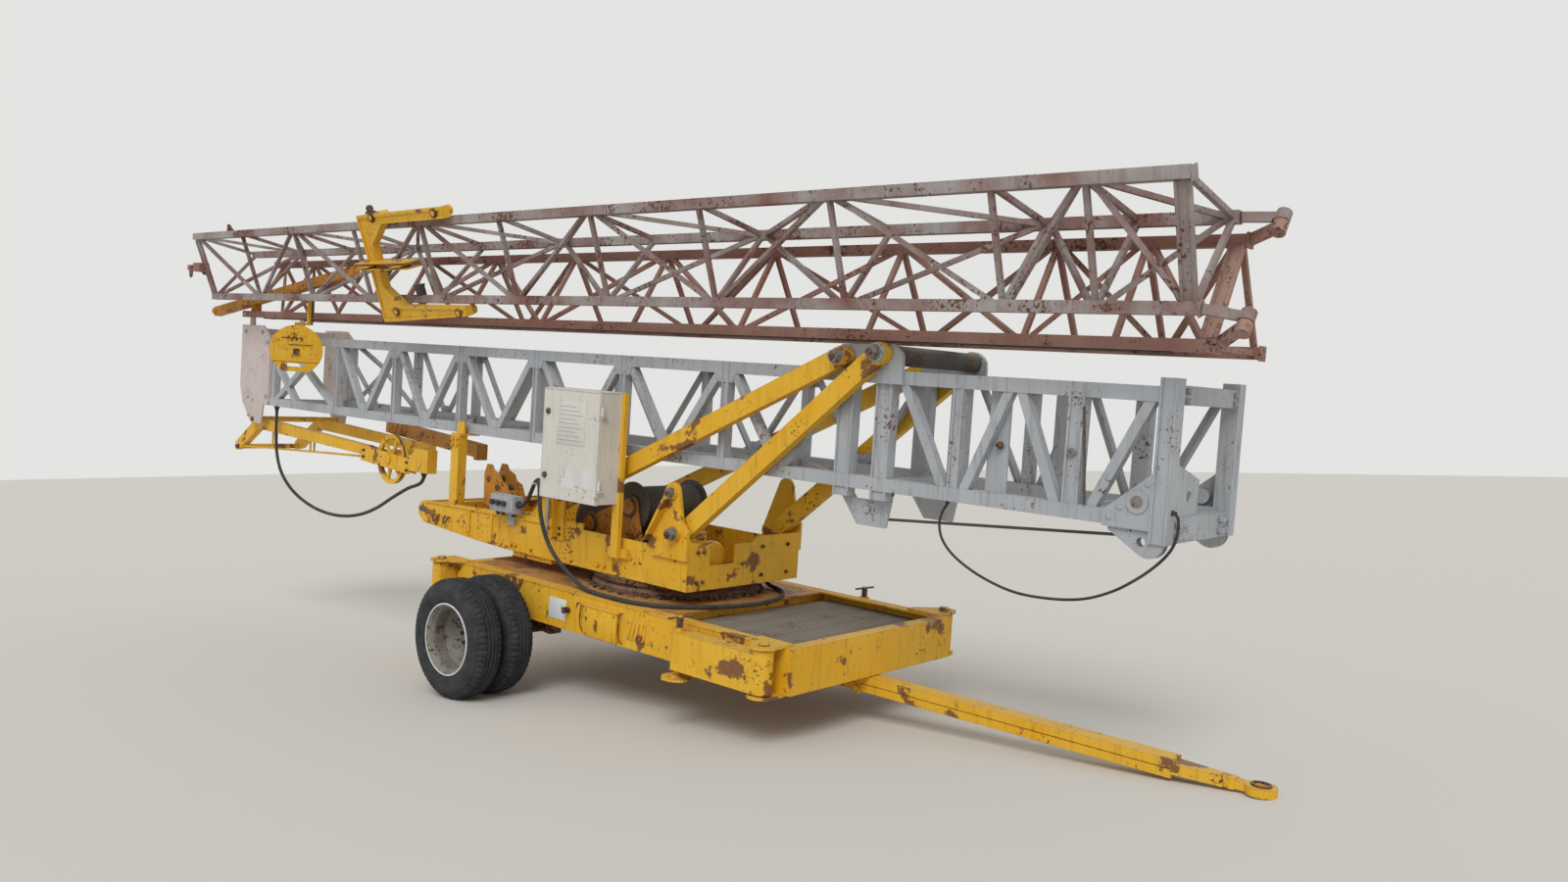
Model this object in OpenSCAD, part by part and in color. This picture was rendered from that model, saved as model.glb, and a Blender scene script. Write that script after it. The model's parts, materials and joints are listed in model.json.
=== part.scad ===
// Self-erecting tower crane, folded on its one-axle road chassis and parked on its tow eye.
// X runs along the crane towards the tow eye, Y across it and Z up from the chassis.
// Every piece is drawn with the chassis level and then set down nose first by parked().

/* [Running gear] */
// Tyre radius
tyre_r = 385; // [372:1:396]
// Tyre section width
tyre_w = 205; // [190:5:215]
// Gap between the twin tyres
twin_gap = 35; // [20:5:50]
// Radius of the rim flange
rim_r = 238; // [225:1:245]
// Gap between the inner tyres and the chassis side beams
tyre_clear = 66; // [50:2:90]
// Radius of the axle stub
axle_r = 38; // [30:1:45]

/* [Chassis] */
// Half width over the side beams
chassis_half = 774; // [740:2:780]
// Rear end of the chassis, behind the axle
chassis_back = 620; // [560:5:640]
// Front end of the chassis, ahead of the axle
chassis_front = 2460; // [2400:10:2500]
// Underside of the beams over the tyre contact plane
chassis_low = 500; // [480:2:510]
// Height of the beams
beam_h = 253; // [230:1:262]
// Width of the beam flanges
flange_w = 84; // [60:2:100]
// Plate thickness of the beams
plate_t = 12; // [8:1:16]
// Length of the open deck bay behind the front beam
deck_len = 900; // [700:20:1000]

/* [Outriggers] */
// Length of an outrigger arm from pin to jack
arm_reach = 640; // [560:10:660]
// Width of an outrigger arm
arm_w = 118; // [90:2:130]
// Radius of an outrigger pin
leg_pin_r = 20; // [14:1:26]
// Radius of a jack screw
jack_r = 17; // [12:1:22]
// Half width of a jack's foot plate
foot_half = 95; // [70:5:110]

/* [Drawbar] */
// Reach of the tow eye's centre ahead of the axle
eye_x = 4665; // [4500:5:4700]
// Height of the drawbar's centre line over the tyre contact plane
drawbar_z = 448; // [430:1:460]
// Depth of the drawbar
drawbar_h = 92; // [70:2:98]
// Width of the drawbar
drawbar_w = 120; // [90:2:140]
// Radius of the tow eye's bore
eye_bore_r = 34; // [20:1:40]
// Outer radius of the tow eye
eye_r = 72; // [64:1:80]
// Thickness of the tow eye
eye_t = 40; // [30:1:46]

/* [Slewing platform] */
// Distance of the slewing axis ahead of the axle
slew_x = 760; // [700:5:800]
// Outer radius of the slewing ring
ring_r = 560; // [480:5:600]
// Height of each half of the slewing ring
ring_h = 48; // [40:1:50]
// Running gap between the halves of the slewing ring
ring_gap = 1; // [0.5:0.1:2]
// Gap between the erecting arms and the platform's side plates
deck_gap = 26; // [10:1:40]
// Tail of the platform, behind the axle
tail_x = 1580; // [1400:10:1700]
// Front of the platform, ahead of the axle
nose_x = 1385; // [1370:5:1420]
// Height of the platform's side plates
side_h = 250; // [200:2:270]

/* [Erecting linkage] */
// Foot pin of the short arms, along and up
short_foot = [1280, 1200];
// Foot pin of the long arms, along and up
long_foot = [-50, 1190];
// Place of the short arms' head pin along the crane
short_head_x = 2675; // [2600:5:2720]
// Rise of the short arms' head pin over the mast
lug_rise = 91; // [80:1:110]
// Distance from the short arms' head pin back to the long arms' head pin
head_pitch = 250; // [230:2:280]
// Drop from the short arms' head pin to the long arms' head pin
head_drop = 30; // [20:1:40]
// Depth of an arm
link_h = 112; // [90:2:120]
// Thickness of an arm
link_t = 60; // [40:2:64]
// Radius of the pins
link_pin_r = 30; // [22:1:34]
// Gap between an arm and the plates beside it
link_gap = 6; // [5:0.5:9]
// Radial clearance of every running pin
pin_gap = 0.4; // [0.2:0.1:0.6]

/* [Mast] */
// Head end of the mast, behind the axle
mast_back = 4330; // [4250:5:4400]
// Foot end of the mast, ahead of the axle
mast_front = 4290; // [4250:5:4320]
// Half width over the mast's sides
mast_half = 410; // [400:2:420]
// Underside of the mast
mast_low = 1615; // [1600:1:1630]
// Depth of the mast
mast_h = 652; // [630:2:670]
// Section of the mast chords
chord = 72; // [60:1:80]
// Length of one lattice bay
bay = 925; // [900:5:935]
// Number of like bays
bays = 6; // [5:1:6]
// Width of the angle diagonals
brace = 50; // [40:1:60]
// Section of the heavy posts at the foot
post = 84; // [70:1:90]

/* [Jib] */
// Length of one jib section
jib_len = 9500; // [9300:10:9600]
// Side of the jib's triangle, between chord centres
jib_side = 571; // [550:1:590]
// Section of the jib chords
jib_chord = 58; // [48:1:64]
// Section of the jib bracing
jib_brace = 26; // [20:1:32]
// Place of the jib root's near lower chord, across and up
root_near = [-420, 2453];
// Outer end of the jib root, ahead of the axle
jib_out = 4440; // [4400:5:4460]
// Length of a jib bay
jib_bay = 950; // [900:5:980]
// Tilt of the fold axis from the horizontal
fold_tilt = 54.9; // [54:0.1:56]
// Distance from the near chord's centre to the fold axis
fold_off = 127; // [120:1:134]
// Reach of the fold hinge past the end of the jib root
fold_reach = 150; // [120:5:180]

/* [Cabinet] */
// Width of the cabinet
cab_w = 556; // [520:4:580]
// Depth of the cabinet
cab_d = 175; // [140:5:190]
// Height of the cabinet
cab_h = 705; // [660:5:740]
// Rear edge of the cabinet, ahead of the axle
cab_x = 212; // [180:2:240]
// Underside of the cabinet over the tyre contact plane
cab_z = 1318; // [1300:2:1340]

/* [Hidden] */
$fn = 48;
e = 0.01;

chassis_top = chassis_low + beam_h;
ring_z = chassis_top;
platform_z = ring_z + 2 * ring_h + ring_gap;
side_top = platform_z + side_h;
mast_top_z = mast_low + mast_h;
track_half = chassis_half + tyre_clear + 2 * tyre_w + twin_gap;
lug_t = 18;
link_y = mast_half + lug_t + link_gap;
deck_half = link_y + link_t + deck_gap;
short_head = [short_head_x, mast_top_z + lug_rise];
long_head = short_head - [head_pitch, head_drop];

// The stance: the chassis tips forward about the axle until the tow eye touches the ground.
eye_low = drawbar_z - eye_t / 2 - tyre_r;
eye_tip = eye_x + eye_r;
nose_down = atan2(eye_low, eye_tip) + asin(tyre_r / sqrt(eye_low * eye_low + eye_tip * eye_tip));

// The four-bar linkage that stands the mast up
short_dir = short_head - short_foot;
short_len = norm(short_dir);
short_ang = atan2(short_dir[1], short_dir[0]);
long_dir = long_head - long_foot;
long_len = norm(long_dir);
long_ang = atan2(long_dir[1], long_dir[0]);

// The jib root is an upright triangle, and the folded tip is its mirror image in the fold axis.
root_far = root_near + [jib_side, 0];
root_apex = root_near + [jib_side / 2, jib_side * sin(60)];
fold_n = [-sin(fold_tilt), cos(fold_tilt)];
fold_mid = root_near + fold_off * fold_n;
function folded(q) = q - 2 * ((q - fold_mid) * fold_n) * fold_n;
tip_low = folded(root_near);
tip_up = folded(root_far);
tip_apex = folded(root_apex);
head_x = -mast_back;
root_pin_x = head_x - 470;
root_pin_r = 18;
jib_back = jib_out - jib_len;
root_back = root_pin_x - 62;
root_last = root_pin_x + 104;
tip_last = jib_back + 30;

// Two knuckles on the fold axis: where each starts, measured up the axis from the near chord
knuckles = [-30, 540];
knuckle_r = 34;
knuckle_h = 58;
knuckle_gap = 6;
fold_pin_r = 14;

// Ends of the parked crane along X, for the origin
function parked_x(x, z) = x * cos(nose_down) + (z - tyre_r) * sin(nose_down);
bracket_x = jib_back - 290;
bracket_z = 2835;
hinge_x = jib_out + fold_reach;
lug_top = fold_at(knuckles[1] + 2 * knuckle_h + knuckle_gap)[1];
lug_reach = knuckle_r * norm([cos(nose_down), cos(fold_tilt) * sin(nose_down)]);
x_mid = (parked_x(hinge_x, lug_top) + lug_reach + parked_x(bracket_x, bracket_z)) / 2;

// Set the level crane down on its wheels and tow eye
module parked() {
    translate([-x_mid, 0, tyre_r])
        rotate([0, nose_down, 0])
            translate([0, 0, -tyre_r]) children();
}

// A box by its lowest and highest corners
module block(lo, hi) {
    translate(lo) cube(hi - lo);
}

// A square bar between two points
module bar(p, q, t, w = 0) {
    d = q - p;
    len = norm(d);
    b = acos(d[2] / len);
    c = atan2(d[1], d[0]);
    width = w > 0 ? w : t;
    translate(p) rotate([0, b, c]) translate([-t / 2, -width / 2, 0]) cube([t, width, len]);
}

// A cylinder across the crane from y0 to y1
module cross_pin(x, z, y0, y1, r) {
    translate([x, y1, z]) rotate([90, 0, 0]) cylinder(r = r, h = y1 - y0);
}

// A plate in the XZ plane between y0 and y1
module side_plate(points, y0, y1) {
    translate([0, y1, 0]) rotate([90, 0, 0]) linear_extrude(y1 - y0) polygon(points);
}

// A flat bar between two points of the XZ plane, as an outline
module strip(p, q, w) {
    d = q - p;
    translate(p) rotate(atan2(d[1], d[0])) translate([0, -w / 2]) square([norm(d), w]);
}

// The standing leg of an angle bar along the right-hand edge of the same strip
module angle_leg(p, q, w, t) {
    d = q - p;
    s = d[1] > 0 ? -1 : 1;
    translate(p) rotate(atan2(d[1], d[0])) translate([0, s * (w - t) / 2 - t / 2]) square([norm(d), t]);
}

// Outlines in the XZ plane, given thickness from y0 to y1
module side_extrude(y0, y1) {
    translate([0, y1, 0]) rotate([90, 0, 0]) linear_extrude(y1 - y0) children();
}

// The children and their mirror image across the centre line
module both_sides() {
    children();
    mirror([0, 1, 0]) children();
}

// Chassis

// A channel along X whose open side faces the centre line
module side_beam() {
    y0 = -chassis_half;
    difference() {
        block([-chassis_back, y0, chassis_low], [chassis_front - flange_w, y0 + flange_w, chassis_top]);
        block([-chassis_back + plate_t, y0 + plate_t, chassis_low + plate_t],
            [chassis_front - flange_w + e, y0 + flange_w + e, chassis_top - plate_t]);
    }
}

corner_out = 205;
corner_len = 230;
corner_gap = 8;
front_pin = [chassis_front - 120, chassis_half + 96];
rear_pin = [-chassis_back - 92, chassis_half + 86];
pin_boss_r = 78;

// Top and bottom lobes that hold an outrigger's pin
module corner_plates(px, py, inner_x) {
    for (z = [chassis_low - 14, chassis_top])
        difference() {
            linear_extrude_at(z, 14) union() {
                translate([px, -py]) circle(r = pin_boss_r);
                polygon([[inner_x, -chassis_half + 70], [px + sign(px - inner_x) * pin_boss_r * 0.9, -chassis_half + 70],
                    [px + sign(px - inner_x) * pin_boss_r * 0.95, -py], [px - sign(px - inner_x) * pin_boss_r * 0.8, -py - 40],
                    [inner_x, -chassis_half]]);
            }
            translate([px, -py, z - 1]) cylinder(r = leg_pin_r + pin_gap, h = 16);
        }
}

module linear_extrude_at(z, h) {
    translate([0, 0, z]) linear_extrude(h) children();
}

module chassis_frame() {
    front = [chassis_front - flange_w, chassis_front];
    color("goldenrod") parked() {
        difference() {
            union() {
                both_sides() side_beam();
                block([front[0], -chassis_half, chassis_low], [front[1], chassis_half, chassis_top]);
                block([-chassis_back - 20, -chassis_half, chassis_low], [-chassis_back + 64, chassis_half, chassis_top]);
                for (x = [-60, slew_x - ring_r - 20, slew_x + ring_r + 40])
                    block([x, -chassis_half + plate_t, chassis_low + 40], [x + 60, chassis_half - plate_t, chassis_top - plate_t]);
            }
            // The front beam is open behind, and its ends are cut back at a slant
            block([front[0] - e, -chassis_half + 90, chassis_low + plate_t],
                [front[1] - plate_t, chassis_half - 90, chassis_top - plate_t]);
        }
        both_sides() corner_plates(front_pin[0], front_pin[1], chassis_front - corner_len - 60);
        both_sides() corner_plates(rear_pin[0], rear_pin[1], -chassis_back + 80);
    }
}

module chassis_deck() {
    back = chassis_front - flange_w - deck_len;
    color("dimgray") parked() {
        difference() {
            block([-chassis_back + 64, -chassis_half + flange_w, chassis_top - plate_t],
                [back, chassis_half - flange_w, chassis_top]);
            translate([slew_x, 0, chassis_low]) cylinder(r = ring_r - 150, h = beam_h + 1);
        }
        block([slew_x + ring_r + 100, -chassis_half + plate_t, chassis_top - 78],
            [chassis_front - flange_w, chassis_half - plate_t, chassis_top - 68]);
    }
}

// Half of the slewing ring, standing on z
module ring_half(z) {
    translate([slew_x, 0, z]) rotate_extrude()
        polygon([[ring_r - 110, 0], [ring_r, 0], [ring_r, ring_h * 0.6], [ring_r - 22, ring_h], [ring_r - 110, ring_h]]);
}

module lower_ring() {
    color("saddlebrown") parked() ring_half(ring_z);
}

module upper_ring() {
    color("saddlebrown") parked()
        translate([0, 0, 2 * (ring_z + ring_h + ring_gap / 2)]) mirror([0, 0, 1]) ring_half(ring_z);
}

hub_y = track_half - tyre_w - twin_gap / 2;
spring_y = chassis_half - 120;
stub_end = hub_y - 2;

module axle_beam() {
    color("#5a5048") parked() {
        cross_pin(0, tyre_r, -stub_end, stub_end, axle_r);
        both_sides() {
            cross_pin(0, tyre_r, -chassis_half, -spring_y - 60, 105);
            // Leaf spring, thickest over the axle
            for (i = [0:3])
                block([-330 + 75 * i, -spring_y - 35, tyre_r + axle_r - 12 + 12 * i],
                    [330 - 75 * i, -spring_y + 35, tyre_r + axle_r + 12 * i]);
            for (x = [-330, 280])
                block([x, -spring_y - 45, tyre_r + axle_r - 12], [x + 50, -spring_y + 45, chassis_low]);
        }
    }
}

bar_back = chassis_front - 330;

module drawbar() {
    tip = eye_x - eye_r - 330;
    color("gold") parked() difference() {
        union() {
            // Two channels back to back with a seam between them
            block([bar_back, -drawbar_w / 2, drawbar_z - drawbar_h / 2], [tip, drawbar_w / 2, drawbar_z - 2]);
            block([bar_back, -drawbar_w / 2, drawbar_z + 2], [tip, drawbar_w / 2, drawbar_z + drawbar_h / 2]);
            block([bar_back, -drawbar_w / 2 + 8, drawbar_z - 2 - e], [tip, drawbar_w / 2 - 8, drawbar_z + 2 + e]);
            linear_extrude_at(drawbar_z - eye_t / 2 - 6, eye_t + 12)
                polygon([[tip - e, -drawbar_w / 2], [tip - e, drawbar_w / 2], [eye_x - eye_r - 40, 30],
                    [eye_x - eye_r - 40, -30]]);
            block([eye_x - eye_r - 60, -28, drawbar_z - eye_t / 2], [eye_x - eye_r + 25, 28, drawbar_z + eye_t / 2]);
            translate([eye_x, 0, drawbar_z - eye_t / 2]) cylinder(r = eye_r, h = eye_t);
            // Bracket that hangs the drawbar under the front beam
            block([bar_back - 12, -drawbar_w / 2 - 20, drawbar_z - drawbar_h / 2 - 14],
                [bar_back, drawbar_w / 2 + 20, chassis_low]);
            block([chassis_front - 90, -drawbar_w / 2 - 14, drawbar_z - drawbar_h / 2 - 14],
                [chassis_front - 60, -drawbar_w / 2, chassis_low]);
            block([chassis_front - 90, drawbar_w / 2, drawbar_z - drawbar_h / 2 - 14],
                [chassis_front - 60, drawbar_w / 2 + 14, chassis_low]);
        }
        translate([eye_x, 0, drawbar_z - eye_t]) cylinder(r = eye_bore_r, h = 2 * eye_t);
    }
}

// Outriggers

leg_low = chassis_low + 8;
leg_top = chassis_top - 8;
leg_h = leg_top - leg_low;
jack_y = 0;

// One folded arm with its pin, jack tube, screw and foot. It points along -X from the pin.
module leg() {
    difference() {
        union() {
            block([-arm_reach, -arm_w / 2, leg_low], [0, arm_w / 2, leg_top - 24]);
            translate([0, 0, leg_low]) cylinder(r = arm_w / 2, h = leg_h);
            translate([-arm_reach, 0, leg_low - 10]) cylinder(r = 34, h = leg_h + 6);
        }
        block([-arm_reach + 60, -arm_w / 2 + 8, leg_low - 1], [-arm_w / 2 - 10, arm_w / 2 - 8, leg_top - 34]);
        translate([0, 0, leg_low - 1]) cylinder(r = leg_pin_r - 6, h = 4);
    }
    translate([-arm_reach, 0, leg_low - 48]) cylinder(r = jack_r, h = leg_h + 112);
    // Foot plate with clipped corners
    linear_extrude_at(leg_low - 62, 14)
        translate([-arm_reach, 0]) polygon([for (a = [22.5:45:359]) foot_half * [cos(a), sin(a)]]);
    translate([-arm_reach, 0, leg_low - 50]) cylinder(r1 = 46, r2 = 24, h = 16);
    translate([0, 0, leg_low - 30]) cylinder(r = leg_pin_r, h = leg_h + 66);
    translate([0, 0, leg_top + 28]) cylinder(r = leg_pin_r + 9, h = 12);
}

module outrigger_front_near() {
    color("gold") parked() translate([front_pin[0], -front_pin[1], 0]) leg();
}

module outrigger_front_far() {
    color("gold") parked() translate([front_pin[0], front_pin[1], 0]) leg();
}

module outrigger_rear_near() {
    color("gold") parked() translate([rear_pin[0], -rear_pin[1], 0]) rotate([0, 0, -90]) leg();
}

module outrigger_rear_far() {
    color("gold") parked() translate([rear_pin[0], rear_pin[1], 0]) rotate([0, 0, 90]) leg();
}

// Wheels

// Tyre profile, half of the section mirrored about its middle
module tyre(y) {
    h = tyre_w / 2;
    side = [[rim_r - 6, h - 22], [rim_r + 20, h - 6], [rim_r + 62, h], [rim_r + 104, h - 8], [tyre_r - 12, h - 24],
        [tyre_r, h - 46]];
    translate([0, y, tyre_r]) rotate([90, 0, 0]) rotate_extrude($fn = 96)
        polygon(concat(side, [for (i = [len(side) - 1:-1:0]) [side[i][0], -side[i][1]]]));
}

module tyre_pair() {
    outer = -track_half + tyre_w / 2;
    tyre(outer);
    tyre(outer + tyre_w + twin_gap);
}

// Deep-dish rim: a drop-centre barrel and a disc that bulges to the twin's middle, where both discs meet
module rim(y, side) {
    h = tyre_w / 2 - 14;
    r = rim_r - 7;
    well = r - 30;
    meet = (tyre_w + twin_gap) / 2;
    hub = axle_r + 34;
    translate([0, y, tyre_r]) rotate([side * 90, 0, 0])
        rotate_extrude($fn = 96)
            polygon([[r, h], [r, h - 8], [r - 16, h - 20], [well, h - 44], [well, -h + 36], [r - 16, -h + 20], [r, -h + 8],
                [r, -h], [r - 9, -h], [r - 24, -h + 16], [well - 9, -h + 34], [well - 9, -50], [well - 46, 24 - meet],
                [well - 70, 1 - meet], [hub - 2, 1 - meet], [hub - 2, 12 - meet], [well - 74, 12 - meet], [well - 50, 36 - meet],
                [well - 9, -34], [well - 9, h - 42], [r - 24, h - 16], [r - 9, h]]);
}

module rim_pair() {
    outer = -track_half + tyre_w / 2;
    mid = outer + (tyre_w + twin_gap) / 2;
    rim(outer, 1);
    rim(outer + tyre_w + twin_gap, -1);
    // Hub drum through both discs, running on the axle stub
    difference() {
        union() {
            cross_pin(0, tyre_r, mid + 4, -chassis_half - 12, axle_r + 62);
            cross_pin(0, tyre_r, mid - 9, mid + 5, axle_r + 33);
        }
        cross_pin(0, tyre_r, mid - 10, -chassis_half + 1, axle_r + pin_gap);
    }
}

module near_tyres() {
    color("#3a3a3c") parked() tyre_pair();
}

module near_rims() {
    color("lightgray") parked() rim_pair();
}

module far_tyres() {
    color("#3a3a3c") parked() mirror([0, 1, 0]) tyre_pair();
}

module far_rims() {
    color("lightgray") parked() mirror([0, 1, 0]) rim_pair();
}

// Slewing platform

module platform() {
    low = platform_z;
    side = [[-tail_x + 80, low + 55], [-tail_x + 10, low + 110], [-tail_x, low + 165], [-tail_x + 45, low + 215],
        [-tail_x + 110, low + 226], [nose_x, low + side_h + 76], [nose_x, low], [-430, low], [-830, low + 14]];
    color("gold") parked() {
        for (s = [-1, 1])
            difference() {
                side_plate(side, s * deck_half - (s > 0 ? plate_t : 0), s * deck_half + (s < 0 ? plate_t : 0));
                block([nose_x - 1000, -deck_half - 1, low + side_h], [nose_x - 330, deck_half + 1, low + side_h + 100]);
                cross_pin(short_foot[0], short_foot[1], -deck_half - 1, deck_half + 1, link_pin_r + pin_gap);
            }
        inner = deck_half - plate_t;
        block([-430, -inner, low], [nose_x, inner, low + plate_t]);
        side_floor = [[-430, low], [-830, low + 14], [-tail_x + 80, low + 55], [-tail_x + 80, low + 67], [-830, low + 26],
            [-430, low + 12]];
        side_plate(side_floor, -inner, inner);
        block([-tail_x + 40, -inner, low + 80], [-tail_x + 52, inner, low + 214]);
        // Box beams under the side plates over the slewing ring
        both_sides() block([floor_knee + 60, -inner, low - 34], [60, -inner + 70, low + 1]);
        // Upper cross beam of the tail that ties the side plates
        side_plate([[-tail_x + 110, low + 196], [-tail_x + 190, low + 197], [-tail_x + 190, low + 209], [-tail_x + 110, low + 208]],
            -inner, inner);
        difference() {
            translate([nose_x - plate_t, 0, low + plate_t]) rotate([90, 0, 90]) linear_extrude(plate_t)
                polygon([[-inner, 0], [inner, 0], [inner, side_h + 48], [110, side_h + 48], [60, side_h + 8], [-300, side_h + 8],
                    [-inner, side_h + 48]]);
            block([nose_x - 20, -330, low + 150], [nose_x + 1, -110, low + 330]);
        }
        for (x = [-640, -420, 790])
            block([x, -inner, low + 20], [x + plate_t, inner, low + 120]);
    }
}

u_pin = [1235, 1446];

module platform_lugs() {
    foot = platform_z + side_h + 30;
    color("gold") parked() both_sides() {
        difference() {
            union() {
                side_plate([[nose_x - 300, side_top - 60], [nose_x, side_top - 60], [nose_x, short_foot[1] + 20],
                    [short_foot[0] + 58, short_foot[1] + 62], [u_pin[0] + 63, u_pin[1] + 8], [u_pin[0] - 57, u_pin[1] + 27],
                    [nose_x - 345, side_top + 30]], -deck_half - 20, -deck_half);
                cross_pin(u_pin[0], u_pin[1], -deck_half - 20, -deck_half, 64);
                cross_pin(short_foot[0], short_foot[1], -deck_half - 20, -deck_half, 90);
                // Stiffener folded out along the sloping edge
                side_plate([[nose_x - 345, side_top + 30], [nose_x - 330, side_top + 30], [u_pin[0] - 20, u_pin[1] - 50],
                    [u_pin[0] - 40, u_pin[1] - 40]], -deck_half - 70, -deck_half - 19);
            }
            cross_pin(short_foot[0], short_foot[1], -deck_half - 21, -deck_half + 1, link_pin_r + e);
        }
        // Foot pin of the short arm, with its round head
        cross_pin(short_foot[0], short_foot[1], -deck_half - 20, -link_y + link_gap, link_pin_r);
        cross_pin(short_foot[0], short_foot[1], -deck_half - 46, -deck_half - 20, link_pin_r + 18);
        cross_pin(u_pin[0], u_pin[1], -deck_half - 34, -deck_half - 20, link_pin_r + 14);
        // Foot pin of the long arm on a bracket inside the side plate
        side_extrude(-deck_half + plate_t + 0.3, -link_y - link_t - link_gap + 2) {
            polygon([[long_foot[0] - 330, side_top - 150], [long_foot[0] + 110, side_top - 150], long_foot + [62, 12],
                long_foot + [-52, 36]]);
            translate(long_foot) circle(r = 64);
        }
        cross_pin(long_foot[0], long_foot[1], -link_y - link_t - link_gap - 8, -link_y + link_gap, link_pin_r);
    }
}

// Top of the tail's sloping floor at a place along the crane
floor_knee = -430;
floor_break = -830;
tail_in = -tail_x + 80;
function floor_top(x) = platform_z + plate_t + (x > floor_knee ? 0 : x > floor_break
    ? 14 * (x - floor_knee) / (floor_break - floor_knee)
    : 14 + 41 * (x - floor_break) / (tail_in - floor_break));

post_x = -1160;
post_w = 100;
post_t = 70;
post_y = -mast_half - 90;
rest_gap = 1;

module mast_posts() {
    top = mast_low - rest_gap;
    color("goldenrod") parked() {
        both_sides() {
            side_plate([[post_x - post_w / 2, floor_top(post_x - post_w / 2) + 1], [post_x + post_w / 2, floor_top(post_x + post_w / 2) + 1],
                [post_x + post_w / 2, top], [post_x - post_w / 2, top]], post_y, post_y + post_t);
            // Head plate that the mast lies on, with an ear beside the mast
            block([post_x - post_w / 2 - 10, post_y, top - 14], [post_x + post_w / 2 + 10, -mast_half + chord + 10, top]);
            block([post_x - 42, post_y + post_t - 26, top - 1], [post_x + 42, post_y + post_t - 12, top + 90]);
        }
        block([post_x - 30, post_y + post_t - 1, floor_top(post_x - 30) + 12], [post_x + 30, -post_y - post_t + 1, floor_top(post_x) + 92]);
    }
}

// Two winches in one frame: the erecting winch behind and below, the hoist winch ahead
winches = [[200, platform_z + 262, 130, 190], [585, platform_z + 420, 105, 165]];
drum_half = 280;
flange_t = 14;
frame_t = 16;
shaft_r = 32;
shaft_boss = 16;
drum_side = drum_half + 6;

module hoist_drum() {
    color("dimgray") parked() for (w = winches)
        translate([w[0], drum_half, w[1]]) rotate([90, 0, 0]) rotate_extrude()
            polygon([[shaft_r + pin_gap, 0], [w[3] - 20, 0], [w[3], 4], [w[3], flange_t], [w[2], flange_t + 6], [w[2], 2 * drum_half - flange_t - 6],
                [w[3], 2 * drum_half - flange_t], [w[3], 2 * drum_half - 4], [w[3] - 20, 2 * drum_half],
                [shaft_r + pin_gap, 2 * drum_half]]);
}

module drum_frame() {
    z0 = platform_z + plate_t;
    color("goldenrod") parked() {
        both_sides() difference() {
            side_extrude(-drum_side - frame_t, -drum_side) union() {
                polygon([[winches[0][0] - 170, z0], [winches[1][0] + 190, z0], winches[1] + [70, 20], winches[1] + [-60, 40],
                    winches[0] + [50, 70], winches[0] + [-75, 20]]);
                for (w = winches) translate([w[0], w[1]]) circle(r = 76);
            }
            for (w = winches) cross_pin(w[0], w[1], -drum_half - 30, -drum_half, shaft_r - e);
        }
        for (w = winches) cross_pin(w[0], w[1], -drum_half - frame_t - 20, drum_half + frame_t + 20, shaft_r);
        for (w = winches, side = [-1, 1])
            cross_pin(w[0], w[1], side * (drum_half + frame_t + 13) - 7, side * (drum_half + frame_t + 13) + 7, shaft_r + 22);
        // Bearing bosses that the drums run against
        for (w = winches) {
            cross_pin(w[0], w[1], drum_half, drum_side + 1, shaft_r + shaft_boss);
            cross_pin(w[0], w[1], -drum_side - 1, -drum_half, shaft_r + shaft_boss);
        }
        // Rope guide over the tail: two stepped cheeks on a bored cross tube
        for (y = [-330, -200])
            difference() {
                side_plate([[-1000, floor_top(-1000) + 1], [floor_break, floor_top(floor_break) + 1], [-690, floor_top(-690) + 1],
                    [-690, 1180], [-735, 1265], [-800, 1290], [-830, 1335], [-900, 1360], [-930, 1400], [-985, 1400], [-1015, 1330]],
                    y, y + 14);
                for (c = [[-960, 1290], [-850, 1235]]) cross_pin(c[0], c[1], y - 1, y + 15, 24);
            }
        cross_pin(-800, 1170, -317, -199, 50);
    }
}

module gear_motor() {
    color("gold") parked() {
        translate([nose_x - 420, -200, platform_z + 190]) rotate([0, 90, 0]) cylinder(r = 75, h = 340);
        block([nose_x - 520, -300, platform_z + plate_t], [nose_x - 420, -100, platform_z + 270]);
    }
}

cab_y = -750;
door_t = 22;
door_gap = 1;
hinge_at = [cab_x + cab_w + 12, cab_y + 10];
hinge_h = 60;
hinge_r = 9;
hinge_pin = 4;
hinge_levels = [90, cab_h - 150];

module cabinet() {
    y0 = cab_y + door_t + door_gap;
    y1 = cab_y + cab_d;
    color("ivory") parked() {
        difference() {
            block([cab_x, y0, cab_z], [cab_x + cab_w, y1, cab_z + cab_h]);
            block([cab_x + 12, y0 - 1, cab_z + 12], [cab_x + cab_w - 12, y1 - 12, cab_z + cab_h - 12]);
        }
        // Brackets and pins that carry the door
        for (z = hinge_levels) {
            block([cab_x + cab_w, hinge_at[1], cab_z + z - 12], [hinge_at[0] + 8, y0 + 30, cab_z + z - 2]);
            translate([hinge_at[0], hinge_at[1], cab_z + z - 12]) cylinder(r = 8, h = 10);
            translate([hinge_at[0], hinge_at[1], cab_z + z - 12]) cylinder(r = hinge_pin, h = hinge_h + 16);
        }
    }
}

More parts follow.
